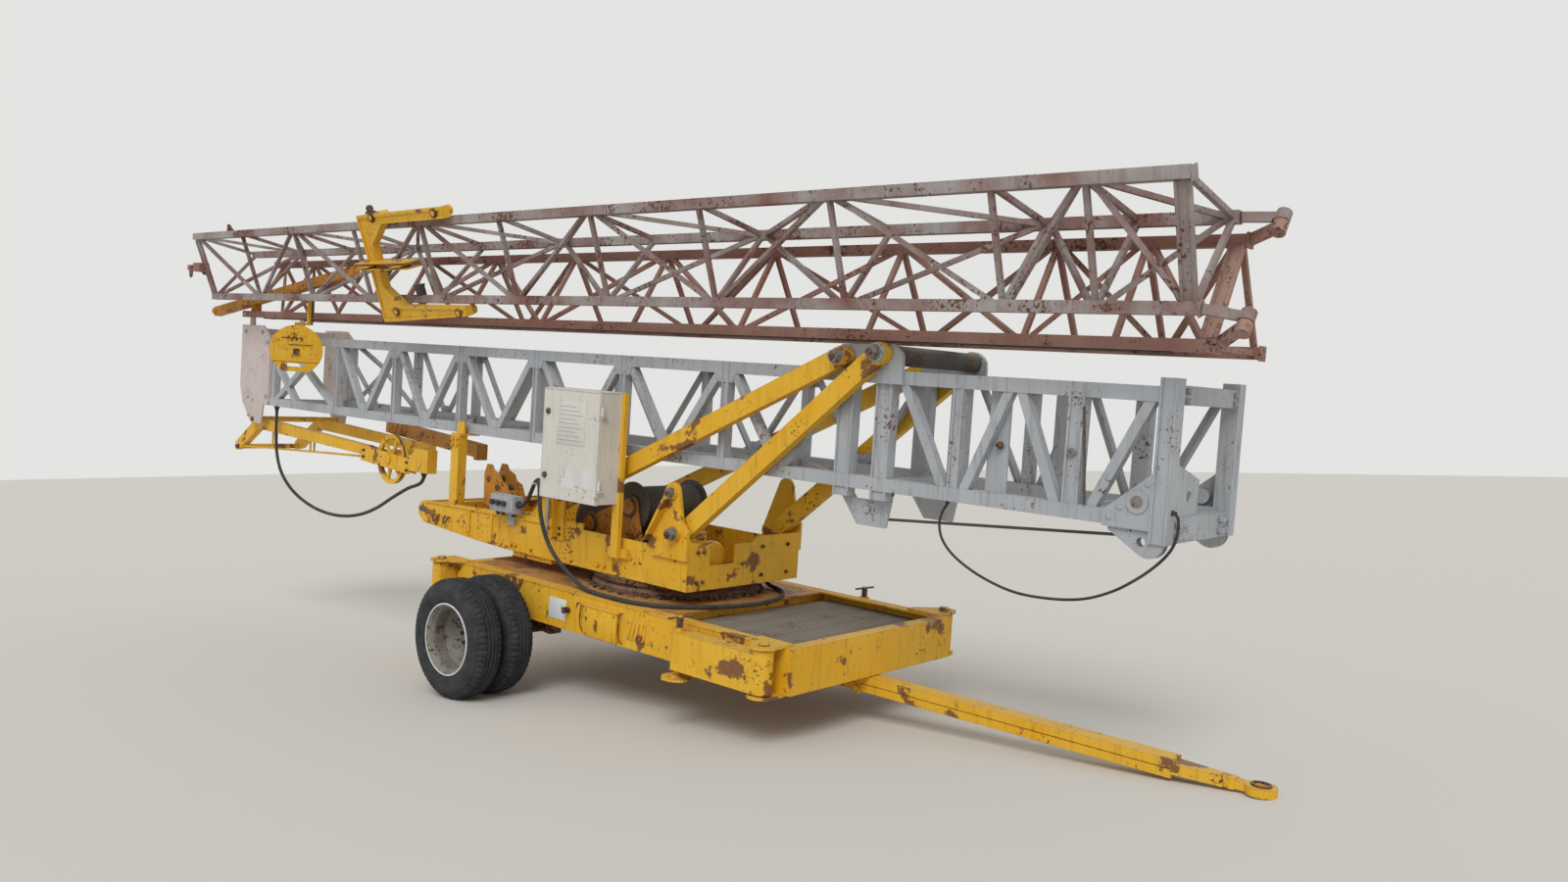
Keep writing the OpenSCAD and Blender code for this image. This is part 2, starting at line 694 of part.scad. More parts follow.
module cabinet_door() {
    color("ivory") parked() difference() {
        union() {
            block([cab_x - 4, cab_y, cab_z - 4], [cab_x + cab_w, cab_y + door_t, cab_z + cab_h + 4]);
            for (z = hinge_levels) {
                block([cab_x + cab_w - e, cab_y + 4, cab_z + z], [hinge_at[0], cab_y + 16, cab_z + z + hinge_h]);
                translate([hinge_at[0], hinge_at[1], cab_z + z]) cylinder(r = hinge_r, h = hinge_h);
            }
        }
        block([cab_x + 14, cab_y + 6, cab_z + 14], [cab_x + cab_w - 14, cab_y + door_t + 1, cab_z + cab_h - 14]);
        for (z = hinge_levels)
            translate([hinge_at[0], hinge_at[1], cab_z + z - 1]) cylinder(r = hinge_pin + pin_gap, h = hinge_h + 2);
    }
}

post2_x = cab_x - 92;

module cabinet_post() {
    x0 = cab_x + cab_w - 40;
    y1 = cab_y + cab_d;
    color("goldenrod") parked() {
        block([x0, y1, platform_z + side_h * 0.5], [x0 + 70, y1 + 30, cab_z + cab_h + 5]);
        block([x0 - 60, y1 + 30 - e, platform_z + side_h * 0.5], [x0 + 130, -deck_half, platform_z + side_h * 0.5 + 60]);
        block([cab_x, y1, cab_z], [x0, y1 + 12, cab_z + 60]);
        // Angle at the cabinet's rear edge, down the side plate
        block([post2_x, -deck_half - 14, platform_z + 150], [post2_x + 80, -deck_half, cab_z + 40]);
        block([post2_x, y1 - e, platform_z + 150], [post2_x + 8, -deck_half - 13, cab_z + 40]);
        block([post2_x, y1, cab_z - 20], [cab_x + 60, y1 + 12, cab_z + 40]);
    }
}

hook_x = 8;
hook_z = 1368;
hook_rod_r = 8;

module junction_box() {
    color("silver") parked() {
        block([-520, -deck_half - 95, platform_z + 275], [-250, -deck_half - 15, platform_z + 395]);
        block([-420, -deck_half - 15, platform_z + 180], [-340, -deck_half, platform_z + 330]);
        // Post and rod that the deck cable hangs over
        block([hook_x - 12, -deck_half - 10, platform_z + 180], [hook_x + 12, -deck_half, hook_z + 6]);
        cross_pin(hook_x, hook_z, -deck_half - 140, -deck_half - 9, hook_rod_r);
    }
}

// Erecting arms

// One box arm between two points in the XZ plane, its near face at y0
module arm(foot, head, y0, t) {
    d = head - foot;
    a = atan2(d[1], d[0]);
    n = norm(d);
    translate([foot[0], y0 + t, foot[1]]) rotate([90, 0, 0]) rotate([0, 0, a]) difference() {
        union() {
            translate([0, -link_h / 2, 0]) cube([n, link_h, t]);
            cylinder(r = link_h / 2, h = t);
            translate([n, 0, 0]) cylinder(r = link_h / 2, h = t);
        }
        translate([0, 0, -1]) cylinder(r = link_pin_r + pin_gap, h = t + 2);
        translate([n, 0, -1]) cylinder(r = link_pin_r + pin_gap, h = t + 2);
    }
}

module short_arms() {
    color("gold") parked() both_sides() arm(short_foot, short_head, -link_y - link_t, link_t);
}

module long_arms() {
    y0 = -link_y - link_t;
    color("gold") parked() both_sides() {
        arm(long_foot, long_head, y0, link_t);
        cross_pin(long_head[0], long_head[1], y0 - 24, y0, link_pin_r + 20);
        cross_pin(long_head[0], long_head[1], y0 - e, -link_y, link_pin_r + pin_gap + e);
    }
}

// Mast

bay_x0 = -mast_back + 1200;
function bay_x(i) = bay_x0 + i * bay;
bay_end = bay_x(bays);
foot_posts = [mast_front - 1615, mast_front - 1148, mast_front - 490, mast_front];

light_post = 56;
arm_post = 104;
angle_t = 8;
post_lip = 12;
post_groove = 9;

// Start and end of each diagonal of one side of the mast
brace_zl = mast_low + chord / 2;
brace_zt = mast_top_z - chord / 2;
brace_mid = mast_low + mast_h * 0.6;
head_in = post - mast_back;
head_braces = [
    [[head_in - 20, brace_mid + 12], [head_in + 420, brace_zl]],
    [[head_in - 20, brace_zl], [head_in + 536, brace_mid]],
    [[head_in - 20, brace_zt], [head_in + 560, brace_mid - 6]],
    [[head_in + 500, brace_mid], [bay_x0, brace_zl]]];
bay_braces = [for (i = [0:bays - 1]) each [
    [[bay_x(i) + 40, brace_zt], [bay_x(i) + bay / 2 - 10, brace_zl]],
    [[bay_x(i) + bay / 2 + 10, brace_zl], [bay_x(i + 1) - 40, brace_zt]]]];
foot_braces = [
    [[foot_posts[0] + 110, brace_zt], [foot_posts[1] - 50, brace_zl]],
    [[foot_posts[1] + 50, brace_zl], [foot_posts[1] + 300, brace_zt]],
    [[foot_posts[1] + 345, brace_zt], [foot_posts[2] - 70, brace_zl]],
    [[foot_posts[2] + 90, brace_zl], [mast_front - post - 30, brace_zt]]];

// A post pressed as a shallow channel, its lips to the outside
module channel_post(x, w, low, y0, d) {
    difference() {
        block([x - w / 2, y0, low], [x + w / 2, y0 + d, mast_top_z - 1]);
        block([x - w / 2 + post_lip, y0 - 1, low - 1], [x + w / 2 - post_lip, y0 + post_groove, mast_top_z]);
    }
}

// One flat side of the mast with its near face at y = -mast_half
module mast_side() {
    y0 = -mast_half;
    block([-mast_back, y0, mast_low], [mast_front - post, y0 + chord, mast_low + chord]);
    block([-mast_back, y0, mast_top_z - chord], [mast_front - post, y0 + chord, mast_top_z]);
    channel_post(-mast_back + post / 2, post, mast_low + 1, y0 + 1, chord - 12);
    for (i = [0:bays - 1])
        channel_post(bay_x(i), light_post, mast_low + 1, y0 - 3, chord - 9);
    // The posts that carry the erecting arms and the foot reach below the chord
    channel_post(bay_end, arm_post, mast_low - 50, y0, chord - 1);
    channel_post(foot_posts[0], arm_post, mast_low - 50, y0, chord - 1);
    channel_post(foot_posts[1], light_post + 6, mast_low + 1, y0 - 3, chord - 9);
    channel_post(foot_posts[2], post, mast_low + 1, y0 - 3, chord - 2);
    for (set = [head_braces, bay_braces, foot_braces], b = set) {
        side_extrude(y0 + 4, y0 + 4 + angle_t) strip(b[0], b[1], brace);
        side_extrude(y0 + 5, y0 + 4 + brace) angle_leg(b[0], b[1], brace, angle_t);
    }
}

module mast_near_side() {
    color("silver") parked() mast_side();
}

module mast_far_side() {
    color("silver") parked() mirror([0, 1, 0]) mast_side();
}

// Bracing between the two sides at one level
module mast_level(z) {
    yi = mast_half - chord;
    for (i = [0:bays])
        block([bay_x(i) - 20, -yi, z - 20], [bay_x(i) + 20, yi, z + 20]);
    block([-mast_back, -yi, z - 30], [-mast_back + 60, yi, z + 30]);
    for (i = [0:bays - 1]) {
        s = (i % 2 == 0) ? 1 : -1;
        intersection() {
            bar([bay_x(i), -s * (yi + 20), z], [bay_x(i + 1), s * (yi + 20), z], 30);
            block([bay_x(i), -yi, z - 40], [bay_x(i + 1), yi, z + 40]);
        }
    }
    for (x = [foot_posts[0], foot_posts[2]])
        block([x - 30, -yi, z - 30], [x + 30, yi, z + 30]);
}

module mast_top() {
    color("silver") parked() mast_level(mast_top_z - chord / 2);
}

module mast_bottom() {
    color("silver") parked() mast_level(mast_low + chord / 2);
}

gusset_pin = [mast_front - 147, mast_low + 120];
gusset_pin_r = 36;
plain_bolt_r = 22;
foot_eye = [mast_front - 90, mast_low - 60];
foot_eye_r = 75;
rest_pin = [mast_front - 1723, mast_low - 112];

// Pin with a round head outside the mast's side and a nut inside
module side_pin(x, z, y, r, grip) {
    cross_pin(x, z, y - 14, y + e, r + 6);
    cross_pin(x, z, y, y + grip, r);
    cross_pin(x, z, y + grip - e, y + grip + 14, r + 8);
}

module mast_foot() {
    x1 = mast_front - post;
    y0 = -mast_half;
    color("silver") parked() {
        both_sides() {
            // End post and the gusset with the pin that holds the mast's foot on the raised lugs
            difference() {
                block([x1, y0 - 12, mast_low - 64], [mast_front, y0 + chord, mast_top_z + 40]);
                block([x1 + post_lip, y0 - 13, mast_low - 65], [mast_front - post_lip, y0 - 12 + post_groove, mast_top_z + 41]);
            }
            side_plate([[x1, mast_low - 8], [x1, mast_low + 255], [x1 - 230, mast_low + 67], [x1 - 230, mast_low - 8]],
                y0 - 10, y0);
            cross_pin(gusset_pin[0], gusset_pin[1], y0 - 17, y0 - 10 + e, gusset_pin_r + 18);
            side_pin(gusset_pin[0], gusset_pin[1], y0 - 4, gusset_pin_r - 6, 60);
            // Round lower bracket with its bore
            for (y = [y0 + 8, y0 + 48])
                side_extrude(y, y + 14) difference() {
                    union() {
                        polygon([[x1 - 205, mast_low], [x1 - 205, mast_low - 24], [x1 - 46, mast_low - 124],
                            [foot_eye[0] + foot_eye_r, foot_eye[1]], [mast_front - 4, mast_low]]);
                        translate(foot_eye) circle(r = foot_eye_r);
                    }
                    translate(foot_eye - [34, 4]) circle(r = plain_bolt_r);
                    translate([foot_eye[0] - 2 * foot_eye_r, mast_low]) square(4 * foot_eye_r);
                }
            // Bracket under the arm posts with its rest pin
            side_plate([[bay_end - arm_post / 2 + 4, mast_low + 2], [bay_end - 40, mast_low - 52], [rest_pin[0] - 70, rest_pin[1] - 92],
                [rest_pin[0] + 128, rest_pin[1] - 92], [foot_posts[0] + arm_post / 2 - 4, mast_low - 52],
                [foot_posts[0] + arm_post / 2 - 4, mast_low + 2], [foot_posts[0], mast_low - 6],
                [foot_posts[0] - 60, mast_low - 60], [bay_end + 60, mast_low - 60], [bay_end + 20, mast_low - 6]],
                y0 + chord, y0 + chord + 14);
            cross_pin(rest_pin[0], rest_pin[1], y0 + chord - 12, y0 + chord + e, plain_bolt_r);
            // Plate between the chords with a bolt, and the like bolt through the next post
            block([foot_posts[1] + 158, y0 + chord - 12, mast_low + chord], [foot_posts[1] + 278, y0 + chord - 2, mast_top_z - chord]);
            cross_pin(foot_posts[1] + 238, mast_low + 311, y0 + chord - 26, y0 + chord - 11, plain_bolt_r);
            cross_pin(foot_posts[2] - 4, mast_low + 315, y0 - 12, y0 - 3 + post_groove, plain_bolt_r);
        }
        // End frame: box beam below, lighter beam above and a gusset with a round hole
        block([x1 + 6, y0 + chord, mast_low - 62], [mast_front - 6, mast_half - chord, mast_low + 56]);
        block([x1 + 6, y0 + chord, mast_top_z - 80], [mast_front - 6, mast_half - chord, mast_top_z + 10]);
        difference() {
            translate([mast_front - 32, 0, 0]) rotate([90, 0, 90]) linear_extrude(12)
                polygon([[y0 + chord - 2, mast_low + 50], [-30, mast_low + 50], [-30, mast_low + 225], [y0 + chord - 2, mast_low + 315]]);
            translate([mast_front - 40, -143, mast_low + 147]) rotate([0, 90, 0]) cylinder(r = 28, h = 30);
        }
    }
}

module mast_head() {
    color("mistyrose") parked() {
        for (s = [-1, 1]) {
            y0 = s < 0 ? -mast_half - 14 : mast_half;
            side_plate([[head_x, mast_top_z - 20], [head_x - 60, mast_top_z + 30], [head_x - 150, mast_top_z + 85],
                [head_x - 575, mast_top_z + 85], [head_x - 580, mast_low + 160], [head_x - 520, mast_low],
                [head_x - 330, mast_low - 180], [head_x - 130, mast_low - 180], [head_x - 95, mast_low], [head_x, mast_low + 20]],
                y0, y0 + 14);
        }
        block([root_pin_x - 40, -mast_half, mast_top_z - 10], [root_pin_x + 60, mast_half, mast_top_z + 60]);
        block([head_x - 60, -mast_half, mast_top_z - 60], [head_x, mast_half, mast_top_z]);
        block([head_x - 60, -mast_half, mast_low], [head_x, mast_half, mast_low + 60]);
        // Ears and pins of the jib's root hinge
        for (y = [root_near[0] + jib_chord / 2 + link_gap, root_far[0] - jib_chord / 2 - link_gap - 16]) {
            side_plate([[root_pin_x - 36, mast_top_z + 60 - e], [root_pin_x + 56, mast_top_z + 60 - e],
                [root_pin_x + 34, root_near[1] + 40], [root_pin_x - 34, root_near[1] + 40]], y, y + 16);
        }
        cross_pin(root_pin_x, root_near[1], root_near[0] - jib_chord / 2 - 8, root_near[0] + jib_chord / 2 + 8, root_pin_r);
        cross_pin(root_pin_x, root_near[1], root_far[0] - jib_chord / 2 - 8, root_far[0] + jib_chord / 2 + 8, root_pin_r);
    }
}

module arm_lugs() {
    base = mast_top_z - chord;
    color("lightgray") parked() both_sides() {
        hull_lug([[long_head[0] - 70, base], [short_head[0] + 130, base]], [long_head, short_head]);
        cross_pin(short_head[0], short_head[1], -link_y - link_t - 2, -mast_half - 18, link_pin_r);
        cross_pin(short_head[0], short_head[1], -link_y - link_t - 26, -link_y - link_t - 2, link_pin_r + 20);
    }
    color("dimgray") parked() {
        cross_pin(short_head[0] + 40, short_head[1] - 10, -mast_half, mast_half, 52);
    }
}

// A round-topped plate outside the mast's side
module hull_lug(base, heads) {
    y0 = -mast_half - 18;
    side_plate([base[0], base[1], heads[1] + [120, 0], heads[1] + [60, 50], heads[0] + [-40, 70], heads[0] + [-80, 40]],
        y0, -mast_half);
}

strut_y = -300;
strut_t = 60;
head_eye = [head_x - 290, mast_low - 145];
fork = [[-2791, 1256], [-2052, 1209], [-2040, 1335], [-2787, 1385]];
pulley_c = [-2350, 1305];
pulley_r = 205;
pulley_t = 40;
cheek_t = 12;
axle_pin_r = 26;

module rear_strut() {
    beam = [[-4735, 1478], [-4560, 1470], [-2700, 1384], [-2700, 1300], [-4560, 1366], [-4700, 1372]];
    foot = [[-4735, 1478], [-4700, 1372], [-5070, 1150], [-5158, 1128], [-5172, 1204]];
    tie = [[-5100, 1166], [-2780, 1277], [-2780, 1291], [-5100, 1182]];
    color("gold") parked() {
        for (y = [strut_y - strut_t / 2, -strut_y - strut_t / 2])
            side_extrude(y, y + strut_t) union() {
                polygon(beam);
                polygon(foot);
            }
        // Pair of thin ties with a short post
        for (y = [strut_y - 24, strut_y + 12])
            side_extrude(y, y + 12) union() {
                polygon(tie);
                strip([-4420, 1205], [-4420, 1400], 18);
                strip([-3700, 1240], [-3700, 1360], 18);
            }
        cross_pin(head_eye[0], head_eye[1], -mast_half, mast_half, axle_pin_r);
        cross_pin(-5105, 1166, strut_y - 30, -strut_y + 30, 24);
        // Fork that holds the guide pulley, with a block behind it
        difference() {
            for (y = [strut_y - pulley_t / 2 - 6 - cheek_t, strut_y + pulley_t / 2 + 6])
                side_plate(fork, y, y + cheek_t);
            cross_pin(pulley_c[0], pulley_c[1], strut_y - 60, strut_y + 60, axle_pin_r + pin_gap);
        }
        block([-2780, strut_y - pulley_t / 2 - 7, 1270], [-2600, strut_y + pulley_t / 2 + 7, 1370]);
        block([-2086, strut_y - pulley_t / 2 - 7, 1225], [-2046, strut_y + pulley_t / 2 + 7, 1325]);
        side_plate([[-2046, 1240], [-1770, 1240], [-1770, 1424], [-1960, 1430], [-2046, 1330]], strut_y - 38, strut_y + 46);
        block([-2720, strut_y + 20, 1300], [-2660, -strut_y - 20, 1350]);
    }
}

module guide_pulley() {
    h = pulley_t / 2;
    color("gold") parked() translate([pulley_c[0], strut_y, pulley_c[1]]) rotate([90, 0, 0]) {
        rotate_extrude() polygon([[pulley_r - 34, -h + 6], [pulley_r, -h], [pulley_r, -h + 5], [pulley_r - 20, 0], [pulley_r, h - 5],
            [pulley_r, h], [pulley_r - 34, h - 6]]);
        cylinder(r = 46, h = pulley_t + 4, center = true);
        cylinder(r = axle_pin_r, h = pulley_t + 48, center = true);
        for (z = [-1, 1]) translate([0, 0, z * (h + 18 + 6.5)]) cylinder(r = axle_pin_r + 12, h = 12, center = true);
        for (a = [0:60:359]) rotate([0, 0, a + 12]) translate([40, -15, -9]) cube([pulley_r - 62, 30, 18]);
    }
}

module strut_beam() {
    // A rusty beam under the mast, hung from the bracing and ending in a hook plate
    color("peru") parked() side_plate([[-2564, 1612], [-2236, 1589], [-2236, mast_low + chord / 2 - 20],
        [-2174, mast_low + chord / 2 - 20], [-2174, 1585], [-1240, 1520], [-1240, 1400], [-1290, 1400], [-1290, 1421],
        [-2571, 1512]], -245, -155);
}

// Jib

// One bar of a lattice plane from chord a to chord b, cut back to the chord faces
module web_bar(x0, a, x1, b) {
    bar([x0, a[0], a[1]], [x1, b[0], b[1]], jib_brace);
}

module chord_bar(c, x0, x1) {
    block([x0, c[0] - jib_chord / 2, c[1] - jib_chord / 2], [x1, c[0] + jib_chord / 2, c[1] + jib_chord / 2]);
}

half_bay = jib_bay / 2;
jib_full = floor((jib_len - 2 * half_bay) / jib_bay);
function jib_x(i) = i == 0 ? jib_out - 30 : i == 1 ? jib_out - half_bay
    : max(jib_out - half_bay - (i - 1) * jib_bay + half_bay, jib_back + 30);
jib_nodes = jib_full + 3;

// Posts and alternating diagonals between chords a and b, from the outer end to the last node
module web(a, b, x_last) {
    for (i = [0:jib_nodes - 1]) {
        x0 = max(jib_x(i), x_last);
        x1 = max(jib_x(i + 1), x_last);
        p = i % 2 == 0 ? a : b;
        q = i % 2 == 0 ? b : a;
        if (x0 - x1 > 100) {
            web_bar(x0, a, x0, b);
            web_bar(x0 - 20, p, x1 + 20, q);
        }
    }
    web_bar(x_last, a, x_last, b);
}

// A flat face: two chords with the web between them
module face_with_chords(a, b, x_end, x_last) {
    chord_bar(a, x_end, jib_out);
    chord_bar(b, x_end, jib_out);
    web(a, b, x_last);
}

module web_only(a, b, x_last) {
    difference() {
        web(a, b, x_last);
        chord_bar(a, jib_back - 50, jib_out + 50);
        chord_bar(b, jib_back - 50, jib_out + 50);
    }
}

module jib_root_base() {
    color("rosybrown") parked() difference() {
        face_with_chords(root_near, root_far, root_back, root_last);
        root_bores();
    }
}

module root_bores() {
    for (y = [root_near[0], root_far[0]])
        cross_pin(root_pin_x, root_near[1], y - jib_chord, y + jib_chord, root_pin_r + pin_gap);
}

module jib_root_near() {
    color("rosybrown") parked() web_only(root_near, root_apex, root_last);
}

module jib_root_far() {
    color("rosybrown") parked() {
        difference() {
            union() {
                chord_bar(root_apex, root_back, jib_out);
                web(root_apex, root_far, root_last);
            }
            chord_bar(root_far, root_back - 50, jib_out + 50);
        }
    }
}

fold_dir = [0, cos(fold_tilt), sin(fold_tilt)];
fold_pt = [hinge_x, fold_mid[0], fold_mid[1]];

module fold_frame() {
    translate(fold_pt) rotate([-(90 - fold_tilt), 0, 0]) children();
}

// The fold axis at a height along it, as across and up
function fold_at(h) = fold_mid + h * [cos(fold_tilt), sin(fold_tilt)];

// A strap from a chord's end to its knuckle
module strap(c, h, t) {
    m = fold_at(h);
    bar([jib_out - e, c[0], c[1]], [hinge_x - 12, m[0], m[1]], t);
}

module jib_root_end() {
    color("rosybrown") parked() {
        difference() {
            union() {
                strap(root_near, knuckles[0] + knuckle_h / 2, 44);
                strap(root_apex, knuckles[1] + knuckle_h / 2, 44);
                fold_frame() for (h = knuckles) translate([0, 0, h]) cylinder(r = knuckle_r, h = knuckle_h);
            }
            block([jib_out - 60, -2000, 2000], [jib_out, 2000, 4000]);
            fold_frame() for (h = knuckles) translate([0, 0, h + knuckle_h])
                cylinder(r = knuckle_r + knuckle_gap, h = 2 * knuckle_h);
        }
        fold_frame() for (h = knuckles) translate([0, 0, h]) cylinder(r = fold_pin_r, h = 2 * knuckle_h + knuckle_gap + 8);
    }
}

module head_strut() {
    color("gold") parked() {
        bar([-5230, -525, 2460], [-3080, -292, 2860], 84, 70);
        cross_pin(-5200, 2466, -580, -470, 26);
        block([-4620, -480, root_near[1] + jib_chord / 2], [-4580, -400, root_near[1] + 84]);
    }
}

module jib_tip_base() {
    color("silver") parked() tilted_face(tip_low, tip_up);
}

module tilted_face(a, b) {
    face_with_chords(a, b, jib_back, tip_last);
}

module jib_tip_upper() {
    color("silver") parked() difference() {
        union() {
            chord_bar(tip_apex, jib_back, jib_out);
            web(tip_apex, tip_up, tip_last);
        }
        chord_bar(tip_up, jib_back - 50, jib_out + 50);
    }
}

module jib_tip_lower() {
    color("silver") parked() web_only(tip_apex, tip_low, tip_last);
}

module jib_tip_end() {
    up = knuckle_h + knuckle_gap;
    color("silver") parked() difference() {
        union() {
            strap(tip_low, knuckles[0] + up + knuckle_h / 2, 44);
            strap(tip_apex, knuckles[1] + up + knuckle_h / 2, 44);
            fold_frame() for (h = knuckles) translate([0, 0, h + up]) cylinder(r = knuckle_r, h = knuckle_h);
        }
        block([jib_out - 60, -2000, 2000], [jib_out, 2000, 4000]);
        fold_frame() for (h = knuckles) {
            translate([0, 0, h + up - 1]) cylinder(r = fold_pin_r + pin_gap, h = knuckle_h + 2);
            translate([0, 0, h - knuckle_h]) cylinder(r = knuckle_r + knuckle_gap, h = 2 * knuckle_h + knuckle_gap);
        }
    }
}

module tip_bracket() {
    color("silver") parked() {
        block([jib_back - 120, -790, 2820], [jib_back + 17, -710, 2900]);
        block([bracket_x, -770, bracket_z], [jib_back - 119, -735, bracket_z + 50]);
    }
}

trolley_x = -1930;
face_up = (tip_up - tip_low) / norm(tip_up - tip_low);
face_out = [-face_up[1], face_up[0]];
chord_reach = jib_chord / 2 * (abs(face_up[0]) + abs(face_up[1]));
roller_r = 35;
roller_gap = 1;
roller_s = chord_reach + roller_r + roller_gap;
frame_in = chord_reach + 7;
frame_d = 62;
roller_x = [215, 1040];

// Children drawn along the crane and up the face, given a thickness out from the face
module on_face(n0, n1) {
    multmatrix([[1, 0, 0, trolley_x], [0, face_up[0], face_out[0], tip_up[0]], [0, face_up[1], face_out[1], tip_up[1]], [0, 0, 0, 1]])
        translate([0, 0, n0]) linear_extrude(n1 - n0) children();
}

module trolley() {
    low = -norm(tip_up - tip_low);
    color("gold") parked() {
        difference() {
            on_face(frame_in, frame_in + frame_d)
                polygon([[0, 92], [1145, 110], [1145, 30], [330, 22], [125, -130], [125, low + 110], [330, low - 28], [1130, low - 26],
                    [1130, low - 96], [0, low - 160]]);
            // Pressed groove down the outer face of each limb
            on_face(frame_in + frame_d - 8, frame_in + frame_d + 1)
                polygon([[22, 70], [1120, 88], [1120, 50], [108, 38], [108, low - 52], [1105, low - 50], [1105, low - 76], [22, low - 130]]);
        }
        for (x = roller_x, end = [roller_s, low - roller_s]) {
            on_face(-chord_reach + 8, frame_in + e) translate([x, end]) circle(r = roller_r);
            on_face(-chord_reach - 4, -chord_reach + 9) translate([x, end]) circle(r = 20);
            on_face(frame_in + frame_d - 9, frame_in + frame_d + 12) translate([x, end]) circle(r = 20);
        }
        // Fork with two rope sheaves halfway down
        for (s = [-262, -308])
            on_face(frame_in + 2, frame_in + 132) translate([-90, s]) square([720, 8]);
        for (x = [20, 470])
            multmatrix([[1, 0, 0, trolley_x + x], [0, face_out[0], face_up[0], tip_up[0]], [0, face_out[1], face_up[1], tip_up[1]],
                [0, 0, 0, 1]]) translate([0, frame_in + 84, -308]) {
                    cylinder(r = 12, h = 62);
                    translate([0, 0, 14]) cylinder(r = 78, h = 26);
                }
    }
}

hook_at = [-3390, -640, 2150];
hook_r = 212;
hook_t = 84;
hook_turn = 62;
lash_t = 24;
lash_y = -552;

module hook_block() {
    color("goldenrod") parked() {
        // Round rope cover, cut flat below, with the cheeks' band and a slot
        translate(hook_at) rotate([0, 0, hook_turn]) rotate([90, 0, 0]) difference() {
            linear_extrude(hook_t, center = true) difference() {
                intersection() {
                    circle(r = hook_r);
                    translate([-hook_r, -hook_r + 26]) square([2 * hook_r, 2 * hook_r]);
                }
                translate([-70, -hook_r + 66]) square([140, 30]);
            }
            linear_extrude(hook_t - 24, center = true) translate([-hook_r, -hook_r]) square([2 * hook_r, 70]);
            for (z = [-1, 1]) translate([0, -60, z * hook_t / 2]) cylinder(r = 34, h = 12, center = true);
        }
        for (z = [-1, 1]) translate(hook_at) rotate([0, 0, hook_turn]) rotate([90, 0, 0])
            translate([0, 0, z * (hook_t / 2 + 4)]) linear_extrude(9, center = true)
                translate([-hook_r + 26, -hook_r + 112]) square([2 * hook_r - 52, 26]);
        // Shackle, and the lashing that goes up beside the chord, clear of the trolley's way
        top = hook_at[2] + hook_r;
        block([hook_at[0] - 22, hook_at[1] - 14, top - 30], [hook_at[0] + 22, hook_at[1] + 14, top + 24]);
        block([hook_at[0] - 12, hook_at[1] - 12, top + 4], [hook_at[0] + 12, lash_y + lash_t, top + 24]);
        block([hook_at[0] - 12, lash_y, top + 4], [hook_at[0] + 12, lash_y + lash_t, tip_low[1] + 12]);
        block([hook_at[0] - 12, tip_low[0] + jib_chord / 2, tip_low[1] - 8], [hook_at[0] + 12, lash_y + lash_t, tip_low[1] + 12]);
    }
}

// Loose cables: a round tube swept along one smooth curve through its own points
cable_step = 4;
cable_sides = 10;

function smooth_at(p, i, t) = let (
        n = len(p) - 1,
        a = i > 0 ? p[i - 1] : 2 * p[0] - p[1],
        b = p[i],
        c = p[i + 1],
        d = i + 2 <= n ? p[i + 2] : 2 * p[n] - p[n - 1])
    0.5 * (2 * b + (c - a) * t + (2 * a - 5 * b + 4 * c - d) * t * t + (3 * b - a - 3 * c + d) * t * t * t);
function smooth(p) = [for (i = [0:len(p) - 2], k = [0:cable_step - 1]) smooth_at(p, i, k / cable_step), p[len(p) - 1]];
function unit(v) = v / norm(v);
function way(q, i, first, last) = i == 0 ? first : i == len(q) - 1 ? last : unit(q[i + 1] - q[i - 1]);

// first and last are the directions in which the cable leaves and enters; across is never along the cable
module cable(points, r, first, last, across) {
    q = smooth(points);
    n = cable_sides;
    rings = [for (i = [0:len(q) - 1]) let (d = way(q, i, first, last), u = unit(cross(d, across)), v = cross(u, d))
        for (k = [0:n - 1]) q[i] + r * (cos(360 * k / n) * u + sin(360 * k / n) * v)];
    ends = [[for (k = [n - 1:-1:0]) k], [for (k = [0:n - 1]) (len(q) - 1) * n + k]];
    walls = [for (i = [0:len(q) - 2], k = [0:n - 1]) [i * n + k, i * n + (k + 1) % n, (i + 1) * n + (k + 1) % n]];
    more = [for (i = [0:len(q) - 2], k = [0:n - 1]) [i * n + k, (i + 1) * n + (k + 1) % n, (i + 1) * n + k]];
    polyhedron(rings, concat(ends, walls, more));
}

deck_cable_r = 14;
deck_lie = chassis_top + deck_cable_r + 0.5;
deck_cable_points = [[-250, -575, 1190], [-205, -577, 1193], [-150, -582, 1225], [-95, -590, 1300], [-45, -602, 1365],
    [8, -612, hook_z + hook_rod_r + deck_cable_r + 2], [48, -632, 1345], [75, -646, 1262], [108, -656, 1170], [160, -664, 1075], [240, -672, 978],
    [350, -682, 900], [480, -694, 838], [600, -708, 792], [700, -720, deck_lie + 2], [800, -730, deck_lie], [960, -738, deck_lie],
    [1130, -722, deck_lie], [1290, -650, deck_lie], [1420, -510, deck_lie], [1510, -330, deck_lie], [1560, -120, deck_lie],
    [1555, 60, deck_lie], [1500, 230, deck_lie], [1400, 365, deck_lie], [1290, 440, deck_lie], [1210, 462, deck_lie + 4],
    [1160, 468, 790], [1138, 470, 822], [1134, 470, platform_z]];

module deck_cable() {
    color("dimgray") parked() cable(deck_cable_points, deck_cable_r, [1, 0, 0], [0, 0, 1], [-1, 1, 0.9]);
}

